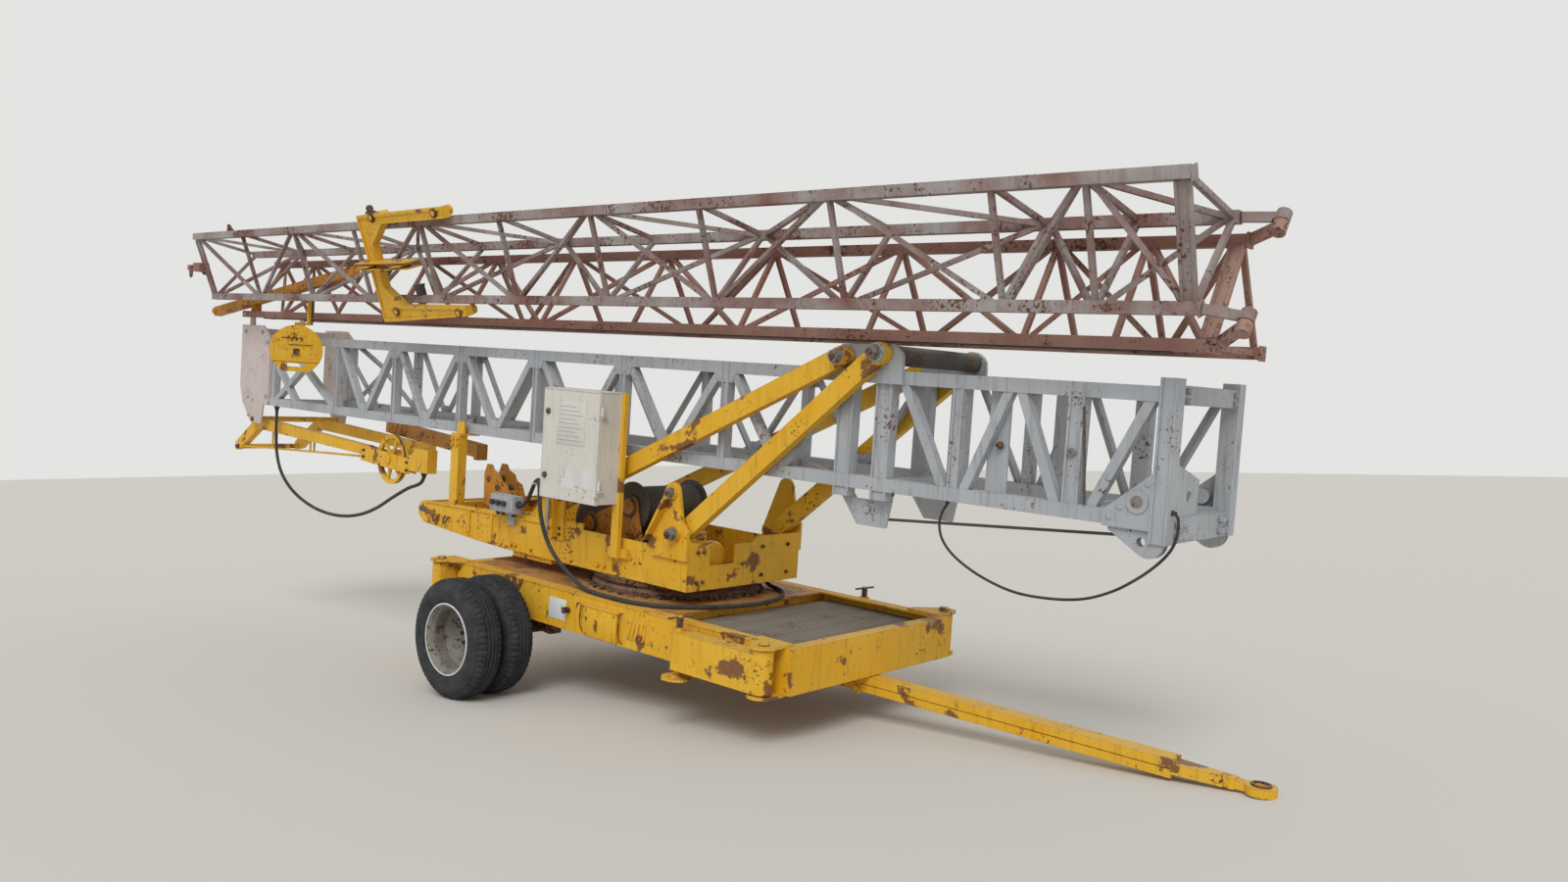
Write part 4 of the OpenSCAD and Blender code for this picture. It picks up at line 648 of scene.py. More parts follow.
class BoltHeads(NodeForm):
    """Hexagon heads on washers, with sizes as shares of the width across a head's flats."""

    hexagon_r = 0.577
    washer_sides = 14

    def __init__(self, finish: Finish) -> None:
        """Build the tree for one finish.

        Args:
            finish: The heads' finish.
        """
        super().__init__(f"bolt_heads_{finish.value.slot}", finish,
                         {"Head height": 0.62, "Washer": 1.35, "Washer height": 0.18})
        tree, given = self.tree, self.given
        head = add_node(tree, "GeometryNodeMeshCylinder",
                        {"Vertices": 6, "Radius": self.hexagon_r, "Depth": given["Head height"]})
        rise = add_node(tree, "ShaderNodeMath", {0: given["Head height"], 1: 0.6}, operation="MULTIPLY")
        lift = add_node(tree, "ShaderNodeCombineXYZ", {2: rise})
        head = add_node(tree, "GeometryNodeTransform", {"Geometry": head, "Translation": lift})
        half = add_node(tree, "ShaderNodeMath", {0: given["Washer"], 1: 0.5}, operation="MULTIPLY")
        washer = add_node(tree, "GeometryNodeMeshCylinder",
                          {"Vertices": self.washer_sides, "Radius": half, "Depth": given["Washer height"]})
        both = add_node(tree, "GeometryNodeJoinGeometry", {0: [washer, head]})
        size = add_node(tree, "GeometryNodeInputNamedAttribute", {"Name": "across"}, data_type="FLOAT")
        self.close(add_node(tree, "GeometryNodeInstanceOnPoints",
                            {"Points": given["Geometry"], "Instance": both, "Rotation": self.facing(),
                             "Scale": size}))

    def set(self, name: str, body: str, bolts: Sequence[Bolt]) -> None:
        """Set a group of bolts on one body."""
        self.grow(name, body, [STANCE.park(*b.at) for b in bolts], smooth_deg=30.0,
                  way=[STANCE.turn(b.way) for b in bolts], across=[b.across_mm / MM_PER_M for b in bolts])


class WireRopes(NodeForm):
    """Taut wire ropes swept along their runs."""

    def __init__(self, radius_mm: float) -> None:
        """Build the tree for one rope size.

        Args:
            radius_mm: Radius of the rope.
        """
        super().__init__(f"wire_rope_{radius_mm:.0f}", Finish.ROPE, {"Rope radius": radius_mm / MM_PER_M})
        line = add_node(self.tree, "GeometryNodeMeshToCurve", {"Mesh": self.given["Geometry"]})
        ring = add_node(self.tree, "GeometryNodeCurvePrimitiveCircle",
                        {"Resolution": 8, "Radius": self.given["Rope radius"]})
        self.close(add_node(self.tree, "GeometryNodeCurveToMesh",
                            {"Curve": line, "Profile Curve": ring, "Fill Caps": True}))

    def run(self, name: str, body: str, routes: Sequence[Sequence[Point]]) -> None:
        """Run ropes along their routes on one body.

        Args:
            name: The piece's plain name.
            body: The body that carries them.
            routes: One list of points for each rope.
        """
        verts, edges = [], []
        for route in routes:
            edges.extend((len(verts) + i, len(verts) + i + 1) for i in range(len(route) - 1))
            verts.extend(STANCE.park(*p) for p in route)
        self.grow(name, body, verts, edges)


class ChainLinks(NodeForm):
    """Chain links set out along a line, every other one turned by a quarter."""

    pitch_mm = 33.0

    def __init__(self) -> None:
        """Build the tree."""
        super().__init__("chain_links", Finish.RUST,
                         {"Link length": 0.040, "Link width": 0.022, "Corner": 0.0105, "Wire radius": 0.0045})
        tree, given = self.tree, self.given
        outline = add_node(tree, "GeometryNodeCurvePrimitiveQuadrilateral",
                           {"Width": given["Link width"], "Height": given["Link length"]})
        rounded = add_node(tree, "GeometryNodeFilletCurve", {"Curve": outline, "Radius": given["Corner"], "Count": 3},
                           mode="POLY")
        ring = add_node(tree, "GeometryNodeCurvePrimitiveCircle", {"Resolution": 6, "Radius": given["Wire radius"]})
        link = add_node(tree, "GeometryNodeCurveToMesh", {"Curve": rounded, "Profile Curve": ring})
        upright = add_node(tree, "GeometryNodeTransform", {"Geometry": link, "Rotation": (math.pi / 2, 0.0, 0.0)})
        index = add_node(tree, "GeometryNodeInputIndex")
        odd = add_node(tree, "ShaderNodeMath", {0: index, 1: 2.0}, operation="MODULO")
        quarter = add_node(tree, "ShaderNodeMath", {0: odd, 1: math.pi / 2}, operation="MULTIPLY")
        spin = add_node(tree, "FunctionNodeAxisAngleToRotation", {"Axis": (0.0, 0.0, 1.0), "Angle": quarter})
        both = add_node(tree, "FunctionNodeRotateRotation", {"Rotation": self.facing(), "Rotate By": spin},
                        rotation_space="LOCAL")
        self.close(add_node(tree, "GeometryNodeInstanceOnPoints",
                            {"Points": given["Geometry"], "Instance": upright, "Rotation": both}))

    def hang(self, name: str, body: str, start: Point, end: Point) -> None:
        """Hang a chain between two points on one body.

        Args:
            name: The piece's plain name.
            body: The body that carries it.
            start: Where the chain starts.
            end: Where it ends.
        """
        run = Vector(end) - Vector(start)
        last = round(run.length / self.pitch_mm)
        points = [STANCE.park(*(Vector(start) + run * (k / last))) for k in range(last + 1)]
        self.grow(name, body, points, way=[STANCE.turn(run.normalized())] * len(points))


@cache
def heads(finish: Finish) -> BoltHeads:
    """Return the bolt heads of a finish, which share one tree."""
    return BoltHeads(finish)


@cache
def ropes(radius_mm: float) -> WireRopes:
    """Return the ropes of a radius, which share one tree."""
    return WireRopes(radius_mm)


@dataclass(frozen=True)
class Viewpoint:
    """The photograph's camera, in the frame of the level crane: millimetres, radians and pixels."""

    place: Point = (6370.75, -5502.07, 2202.45)
    yaw: float = 0.71025
    pitch: float = -0.05571
    roll: float = 0.06564
    focal_px: float = 1192.405
    width_px: float = 1600.0
    sensor_mm: float = 36.0
    far_m: float = 200.0

    def build(self) -> None:
        """Make the camera and set it as the scene's."""
        ahead = Vector((-math.sin(self.yaw) * math.cos(self.pitch),
                        math.cos(self.yaw) * math.cos(self.pitch), math.sin(self.pitch)))
        side = ahead.cross(Vector((0, 0, 1))).normalized()
        top = side.cross(ahead)
        right = side * math.cos(self.roll) + top * math.sin(self.roll)
        up = -side * math.sin(self.roll) + top * math.cos(self.roll)
        data = bpy.data.cameras.new("viewpoint")
        data.sensor_width = self.sensor_mm
        data.lens = self.focal_px / self.width_px * self.sensor_mm
        data.clip_end = self.far_m
        camera = bpy.data.objects.new("viewpoint", data)
        turn = Matrix([STANCE.turn(v) for v in (right, up, -ahead)]).transposed().to_4x4()
        camera.matrix_world = Matrix.Translation(STANCE.park(*self.place)) @ turn
        bpy.context.scene.collection.objects.link(camera)
        bpy.context.scene.camera = camera


@dataclass(frozen=True)
class Studio:
    """A pale floor and plain soft light."""

    floor_hex: str = "#cfccc5"
    sky_hex: str = "#e4e4e2"
    floor_half_m: float = 60.0
    sky_strength: float = 0.62
    sun_strength: float = 1.5
    sun_wide_deg: float = 30.0
    sun_turn_deg: Point = (42.0, 18.0, 15.0)

    def build(self) -> None:
        """Make the floor, the world and the sun."""
        h, scene = self.floor_half_m, bpy.context.scene
        mesh = bpy.data.meshes.new("floor")
        mesh.from_pydata([(-h, -h, 0), (h, -h, 0), (h, h, 0), (-h, h, 0)], [], [(0, 1, 2, 3)])
        floor = bpy.data.objects.new("floor", mesh)
        scene.collection.objects.link(floor)
        mat = bpy.data.materials.new("pale_floor")
        mat.use_nodes = True
        shader = mat.node_tree.nodes["Principled BSDF"]
        shader.inputs["Base Color"].default_value = linear(self.floor_hex)
        shader.inputs["Roughness"].default_value = 0.9
        mesh.materials.append(mat)
        scene.world = bpy.data.worlds.new("soft_sky")
        scene.world.use_nodes = True
        tree = scene.world.node_tree
        tree.nodes.clear()
        # The camera and reflections see the pale background, and the crane gets the sky's light; nothing is clear
        seen = add_node(tree, "ShaderNodeMath",
                        {0: add_node(tree, "ShaderNodeLightPath", out="Is Camera Ray"),
                         1: add_node(tree, "ShaderNodeLightPath", out="Is Glossy Ray")}, operation="MAXIMUM")
        light = add_node(tree, "ShaderNodeBackground", {0: (1, 1, 1, 1), 1: self.sky_strength})
        shown = add_node(tree, "ShaderNodeBackground", {0: linear(self.sky_hex), 1: 1.0})
        add_node(tree, "ShaderNodeOutputWorld", {0: add_node(tree, "ShaderNodeMixShader",
                                                             {0: seen, 1: light, 2: shown})})
        sun = bpy.data.lights.new("soft_sun", "SUN")
        sun.energy = self.sun_strength
        sun.angle = math.radians(self.sun_wide_deg)
        lamp = bpy.data.objects.new("soft_sun", sun)
        lamp.rotation_euler = [math.radians(turn) for turn in self.sun_turn_deg]
        scene.collection.objects.link(lamp)
        scene.view_settings.view_transform = "Standard"


@dataclass(frozen=True)
class Cable:
    """A loose cable: its node, its body, its radius, its route on the level crane and how it leaves and enters."""

    node: str
    body: str
    radius_mm: float
    route: tuple[Point, ...]
    leaves: Point
    enters: Point

    def lay(self) -> None:
        route, steps = self.route, 8
        form = Form()
        form.tube(route, self.radius_mm, 12, steps)
        tube = form.piece(f"{self.node}_sheath", self.body, Finish.CABLE, smooth_deg=50.0)
        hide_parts(self.node)
        # A ribbed rubber cone eases the cable out of its gland and into the steel at its far end
        r = self.radius_mm + 0.4
        cone = [(r * h, r * wide) for h, wide in
                ((0.0, 1.0), (0.0, 1.8), (0.7, 1.8), (0.8, 1.6), (1.4, 1.5), (1.5, 1.35), (2.1, 1.3), (2.2, 1.15),
                 (2.9, 1.08), (2.9, 1.0))]
        reliefs = Form()
        reliefs.lathe(cone, route[0], self.leaves, 20)
        reliefs.lathe(cone, route[-1], -Vector(self.enters), 20)
        reliefs.piece(f"{self.node}_strain_reliefs", self.body, Finish.CABLE)


CABLES = (
    Cable("deck_cable", PLATFORM, 14.0, (
        (-250, -575, 1190), (-205, -577, 1193), (-150, -582, 1225), (-95, -590, 1300), (-45, -602, 1365),
        (8, -612, 1392), (48, -632, 1345), (75, -646, 1262), (108, -656, 1170), (160, -664, 1075), (240, -672, 978),
        (350, -682, 900), (480, -694, 838), (600, -708, 792), (700, -720, 769.5), (800, -730, 767.5),
        (960, -738, 767.5), (1130, -722, 767.5), (1290, -650, 767.5), (1420, -510, 767.5), (1510, -330, 767.5),
        (1560, -120, 767.5), (1555, 60, 767.5), (1500, 230, 767.5), (1400, 365, 767.5), (1290, 440, 767.5),
        (1210, 462, 771.5), (1160, 468, 790), (1138, 470, 822), (1134, 470, 850)), (1, 0, 0), (0, 0, 1)),
    Cable("foot_cable", "mast", 7.0, (
        (4290, -375, 1700), (4308, -375, 1694), (4322, -375, 1670), (4322, -375, 1600), (4298, -375, 1530),
        (4240, -375, 1456), (4150, -375, 1376), (4034, -375, 1298), (3890, -375, 1238), (3715, -375, 1210),
        (3520, -375, 1210), (3330, -375, 1256), (3175, -375, 1328), (3090, -375, 1405), (3062, -375, 1485),
        (3074, -375, 1550), (3096, -375, 1588), (3102, -375, 1615)), (1, 0, 0), (0, 0, 1)),
    Cable("rear_cable", "mast", 14.0, (
        (-1880, -296, 1240), (-1888, -296, 1190), (-1925, -296, 1150), (-1995, -297, 1122), (-2110, -297, 1085),
        (-2330, -298, 985), (-2560, -300, 872), (-2800, -302, 788), (-3060, -304, 738), (-3330, -308, 724),
        (-3600, -316, 748), (-3850, -328, 812), (-4040, -342, 905), (-4170, -356, 1030), (-4235, -366, 1190),
        (-4255, -370, 1370), (-4252, -373, 1520), (-4250, -374, 1615)), (0, 0, -1), (0, 0, 1)),
)


@dataclass(frozen=True)
class Wheels:
    """Twin tyres with grooves and shoulder lugs, wheel nuts, rim edges and hub rings, in millimetres."""

    width: float = 205.0
    rim: float = 238.0
    gap: float = 35.0
    track_half: float = 1285.0
    lugs: int = 60
    groove: float = 8.0
    lug_depth: float = 10.0
    disc_in: float = 108.0
    nuts: int = 10
    nut_circle: float = 100.0
    hub_y: float = 1071.0

    def _section(self) -> list[Point]:
        """Set out the section of a tyre's outside.

        Returns:
            Points as place across, radius and share of the lug depth.
        """
        r, h = STANCE.tyre_r, self.width / 2
        g = r - self.groove
        half = [(0, r, 0), (9, r, 0), (10, g, 0), (17, g, 0), (18, r, 0), (34, r, 0), (35, g, 0), (42, g, 0),
                (43, r - 0.5, 0.7), (h - 46, r - 1.5, 1), (h - 37, r - 6, 1), (h - 26, r - 16, 0.9),
                (h - 20, r - 30, 0.5), (h - 15, r - 34, 0), (h - 8, r - 46, 0), (h - 5.5, r - 50, 0),
                (h - 5.5, r - 53, 0), (h - 3, r - 58, 0), (h, r - 82, 0), (h - 1, r - 102, 0), (h - 3.5, r - 104, 0),
                (h - 3.5, r - 107, 0), (h - 4, r - 112, 0), (h - 7, self.rim + 22, 0), (h - 14, self.rim + 8, 0),
                (h - 22, self.rim - 5, 0)]
        return [*half, *((-a, r, share) for a, r, share in reversed(half[1:]))]

    def _add_tyre(self, form: Form, y: float) -> None:
        """Add one tyre to a form.

        Args:
            form: The form that gets it.
            y: Where the tyre's middle lies across the crane.
        """
        section, rings = self._section(), []
        for k, (c, s) in enumerate(arc(self.lugs * 3)):
            ring = []
            for a, r, share in section:
                # Every third step is a notch, one step apart on the two shoulders
                out = r - self.lug_depth * share * ((k + (a > 0)) % 3 == 0)
                ring.append((out * s, y + a, STANCE.tyre_r + out * c))
            rings.append(ring)
        form.loft(rings, closed=True)

    def build(self) -> None:
        """Dress both pairs of wheels."""
        hub_z = STANCE.tyre_r
        for side, body in zip(SIDES, ("wheels_near", "wheels_far")):
            outer = side * (self.track_half - self.width / 2)
            tyres = Form()
            for y in (outer, outer - side * (self.width + self.gap)):
                self._add_tyre(tyres, y)
            pair = tyres.piece(f"{body}_treaded_tyres", body, Finish.TYRE, smooth_deg=24.0)
            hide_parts("near_tyres" if side < 0 else "far_tyres")
            disc = outer - side * self.disc_in
            heads(Finish.RUST).set(f"{body}_nuts", body, [Bolt((x, disc, hub_z + z), (0, side, 0), 22)
                                                          for x, z in arc(self.nuts, self.nut_circle)])
            edge = Form()
            edge.lathe([(-6, 222), (0.5, 222), (2.5, 225), (2.5, 229), (0, 232), (-6, 232)],
                       (0, side * (self.track_half - 14), hub_z), (0, side, 0), 96)
            edge.piece(f"{body}_flange_edge", body, Finish.LABEL)
            hub = Form()
            hub.lathe([(0, 62), (0, 70), (7, 70), (11, 66), (11, 47), (7, 44), (0, 44)],
                      (0, side * self.hub_y, hub_z), (0, side, 0), 40)
            hub.piece(f"{body}_hub_ring", body, Finish.RUST)


@dataclass(frozen=True)
class ChassisTrim:
    """Lips, covers, boards, bails and bolts of the chassis and its outriggers, in millimetres."""

    beam_y: float = 774.0
    lip: float = 5.0
    board: float = 172.0
    board_gap: float = 4.0
    ring_bolts: int = 40
    ring_r: float = 583.0
    jack_out: float = 640.0
    threads: int = 10
    thread: float = 6.0

    def build(self) -> None:
        """Make every part."""
        self._beams()
        self._fittings()
        self._bolts()
        for body, pin, way in (("leg_front_near", (2340, -870), (-1, 0)), ("leg_front_far", (2340, 870), (-1, 0)),
                               ("leg_rear_near", (-712, -860), (0, 1)), ("leg_rear_far", (-712, 860), (0, -1))):
            self._outrigger(body, pin, way)

    def _beams(self) -> None:
        """Lips and covers on the side beams, the boards between them and the bare plate."""
        lips = Form()
        for s in SIDES:
            low, high = sorted((s * self.beam_y, s * (self.beam_y + self.lip)))
            for z in (500, 743):
                lips.box((-560, low, z), (2150, high, z + 10))
        # Pressed cover with its lid on the near beam, and the ribbed plate ahead of it
        lips.box((775, -802, 512), (1082, -774, 694))
        lips.box((762, -808, 694), (1095, -773, 706))
        lips.box((1160, -780, 557), (1318, -773, 675))
        for x in range(1172, 1275, 34):
            lips.prism([(x, 566), (x + 10, 566), (x + 34, 666), (x + 24, 666)], -785, -779)
        lips.piece("chassis_lips_and_covers", "chassis", Finish.YELLOW, 1.6)
        boards = Form()
        for k in range(5):
            x = 1490 + (self.board + self.board_gap) * k
            boards.box((x, -748, 685), (x + self.board, 748, 697))
        boards.piece("bay_boards", "chassis", Finish.BOARD, 1.8)
        plate = Form()
        plate.box((399, -777, 552), (571, -773, 686))
        plate.piece("bare_white_plate", "chassis", Finish.LABEL, 0.8)

    def _fittings(self) -> None:
        """Tap beside the plate, wire bails that hold the cover, and the tow eye's bush."""
        metal = Form()
        metal.lathe([(0, 0), (0, 20), (6, 20), (8, 13), (26, 12), (30, 17), (46, 17), (50, 12), (50, 0)],
                    (596, -774, 628), (0, -1, 0), 16)
        metal.rod((566, -808, 640), (618, -808, 652), 6, 10)
        for x in (748, 1108):
            metal.tube([(x, -776, 702), (x - 8, -790, 690), (x - 14, -794, 640), (x - 12, -794, 570),
                        (x + 2, -786, 528), (x + 8, -776, 512)], 4, 8)
        metal.lathe([(0, 34), (0, 46), (5, 48), (9, 46), (9, 34)], (STANCE.eye_x, 0, 468), (0, 0, 1))
        metal.piece("tap_bails_and_eye_bush", "chassis", Finish.RUST)

    def _bolts(self) -> None:
        """Bolts of the slewing ring, the drawbar, the beams and the covers."""
        ring = [Bolt((760 + x, y, 753), (0, 0, 1), 24) for x, y in arc(self.ring_bolts, self.ring_r)]
        heads(Finish.RUST).set("slewing_ring_bolts", "chassis", ring)
        bar = [Bolt((2385, s * 74, z), (0, s, 0), 26) for s in SIDES for z in (424, 476)]
        bar += [Bolt((x, s * 778, 628), (0, s, 0), 19) for s in SIDES for x in (-470, -250, 1700, 1760, 2060)]
        bar += [Bolt((x, -780, z), (0, -1, 0), 13) for x in (1172, 1306) for z in (569, 663)]
        bar += [Bolt((x, -802, z), (0, -1, 0), 15) for x in (797, 1060) for z in (532, 676)]
        heads(Finish.YELLOW).set("chassis_bolts", "chassis", bar)

    def _outrigger(self, body: str, pin: Pair, way: Pair) -> None:
        """Add a threaded jack screw with its tommy bar, the pin's washer, the collar and the webs.

        Args:
            body: The outrigger's body.
            pin: Where its pin stands.
            way: Its direction from the pin.
        """
        (px, py), (dx, dy) = pin, way
        jx, jy = px + self.jack_out * dx, py + self.jack_out * dy
        rise: list[Pair] = [(0.0, 15.0)]
        for k in range(self.threads):
            z = self.thread * k
            rise += [(z + 1, 17.2), (z + 2.4, 20.0), (z + 3.6, 20.0), (z + 5, 17.2)]
        screw = Form()
        screw.lathe([*rise, (self.thread * self.threads, 15.0)], (jx, jy, 743), (0, 0, 1), 28)
        bx, by = 78 * abs(dy) + 10, 78 * abs(dx) + 10
        screw.rod((jx - bx, jy - by, 800), (jx + bx, jy + by, 800), 6.5, 12)
        screw.lathe([(0, 20), (0, 30), (3, 32), (12, 32), (15, 30), (15, 20)], (px, py, 757), (0, 0, 1), 28)
        screw.piece(f"{body}_screw", body, Finish.RUST)
        collar = Form()
        collar.lathe([(0, 34), (0, 44), (4, 46), (18, 46), (22, 43), (22, 34)], (jx, jy, 700), (0, 0, 1), 28)
        # Web plates that stiffen the channel-like arm
        wx, wy = 4 + 50 * abs(dy), 4 + 50 * abs(dx)
        for t in (130, 330, 500):
            cx, cy = px + t * dx, py + t * dy
            collar.box((cx - wx, cy - wy, 512), (cx + wx, cy + wy, 711))
        collar.piece(f"{body}_collar_and_webs", body, Finish.YELLOW)


@dataclass(frozen=True)
class PlatformTrim:
    """Lips, eyes, bolts, winch ropes and motor fins on the slewing platform, in millimetres."""

    drums: tuple[Point, ...] = ((200, 1112, 130), (585, 1270, 105))
    rope_r: float = 7.2
    rope_layer: float = 12.6
    rope_pitch: float = 14.5
    rope_start: float = -247.0
    turns: int = 34
    steps: int = 24
    fins: int = 15
    fin_pitch: float = 16.0

    def build(self) -> None:
        """Make every part."""
        self._plates()
        self._eyes()
        self._bolts()
        self._winches()
        self._motor()

    def _plates(self) -> None:
        """Lips and ribs on the side plates, and painted shade in the tail's slot."""
        lips = Form()
        for s in SIDES:
            y0, y1 = sorted((s * 519, s * 531))
            lips.prism([(-1470, 1062), (380, 1091), (380, 1100), (-1470, 1076)], y0, y1)
            lips.prism([(-1490, 908), (-830, 866), (-430, 852), (1030, 852), (1030, 862), (-430, 862), (-830, 876),
                        (-1490, 918)], y0, y1)
            # Ribs that stiffen the side plate
            for x in (-900, -620, 700):
                lips.box((x, y0, 880), (x + 10, y1 - 3 if s > 0 else y1, 1074))
        lips.piece("platform_lips", PLATFORM, Finish.YELLOW, 1.6)
        # Painted shade: a dark sheet in the tail's slot stands for the shaded inside seen through the hole
        dark = Form()
        dark.prism([(x + c, 1004 + s) for x, start in ((-1548, 0.5), (-1490, 1.5))
                    for c, s in arc(9, 20, math.pi * start, math.pi / 8)], -521.5, -519)
        dark.piece("tail_slot_painted_shade", PLATFORM, Finish.DECK)

    def _eyes(self) -> None:
        """Lashing eyes on the near plate, and rollers of the rope guide over the tail."""
        eyes = Form()
        for x in (-1318, -1180):
            eyes.tube([(x - 26, -516, 985), (x - 26, -536, 980), (x - 20, -546, 955), (x, -550, 938),
                       (x + 20, -546, 955), (x + 26, -536, 980), (x + 26, -516, 985)], 7)
        for x, z in ((-960, 1290), (-850, 1235)):
            eyes.rod((x, -176, z), (x, -336, z), 21, 20, 2)
            eyes.lathe([(0, 20), (0, 30), (6, 30), (14, 25), (92, 25), (100, 30), (106, 30), (106, 20)],
                       (x, -205, z), (0, -1, 0), 24)
        eyes.piece("eyes_and_guide_rollers", PLATFORM, Finish.RUST)

    def _bolts(self) -> None:
        """Bolts of the mast posts, the side plates and the nose."""
        side = [Bolt((x, s * 500, z), (0, s, 0), 24) for s in SIDES for x in (-1186, -1134) for z in (1530, 1575)]
        side += [Bolt((x, s * 519.5, 895), (0, s, 0), 24) for s in SIDES for x in (-380, -330, 560, 620)]
        heads(Finish.YELLOW).set("platform_bolts", PLATFORM, side)
        nose = [Bolt((1385, y, z), (1, 0, 0), 20) for y in (-440, -390, 150, 400) for z in (905, 1090)]
        heads(Finish.RUST).set("platform_nose_bolts", PLATFORM, nose)

    def _winches(self) -> None:
        """Two layers of rope wound on each drum, and the bearings' covers and bolts."""
        spots = []
        for number, (x, z, barrel) in enumerate(self.drums, 1):
            routes = []
            for layer, way in enumerate((1, -1)):
                coil = arc(self.turns * self.steps, barrel + self.rope_r + layer * self.rope_layer, 0.0,
                           2 * math.pi / self.steps)
                routes.append([(x + c, way * (self.rope_start + self.rope_pitch * k / self.steps), z + s)
                               for k, (c, s) in enumerate(coil)])
            ropes(7.0).run(f"winch_{number}_rope", PLATFORM, routes)
            covers = Form()
            for s in SIDES:
                covers.lathe([(0, 54), (0, 70), (3, 72), (11, 72), (14, 70), (14, 54)], (x, s * 302, z), (0, s, 0))
                spots += [Bolt((x + c, s * 316, z + h), (0, s, 0), 14) for c, h in arc(4, 63, math.pi / 4)]
            covers.piece(f"winch_{number}_bearing_covers", PLATFORM, Finish.DECK)
        heads(Finish.RUST).set("winch_bolts", PLATFORM, spots)

    def _motor(self) -> None:
        """Cooling fins, fan cover and terminal box of the gear motor, and the gearbox's bolts."""
        ribs: list[Pair] = [(0.0, 60.0)]
        for x in (self.fin_pitch * k for k in range(self.fins)):
            ribs += [(x, 76.0), (x + 1, 87.0), (x + 5, 87.0), (x + 6, 76.0)]
        form = Form()
        form.lathe([*ribs, (self.fin_pitch * self.fins, 60.0)], (1000, -200, 1040), (1, 0, 0), 40)
        form.lathe([(0, 60), (0, 90), (4, 92), (44, 92), (60, 78), (62, 40), (60, 0), (56, 0), (56, 60)],
                   (1246, -200, 1040), (1, 0, 0), 40)
        form.box((1060, -246, 1112), (1170, -154, 1164))
        form.box((1054, -252, 1164), (1176, -148, 1172))
        form.lathe([(0, 0), (0, 14), (16, 14), (18, 10), (26, 10), (26, 0)], (1170, -200, 1138), (1, 0, 0), 16)
        form.piece("gear_motor_fins_and_box", PLATFORM, Finish.YELLOW)
        spots = [Bolt((x, -300, z), (0, -1, 0), 18) for x in (885, 945) for z in (885, 985, 1095)]
        spots += [Bolt((x, y, 1120), (0, 0, 1), 18) for x in (885, 945) for y in (-275, -125)]
        heads(Finish.RUST).set("gearbox_bolts", PLATFORM, spots)


@dataclass(frozen=True)
class Row:
    """A row of plain switches: height of its rail, first switch, and each one's width, height, depth and number."""

    z: float
    start: float
    wide: float
    high: float
    deep: float
    count: int


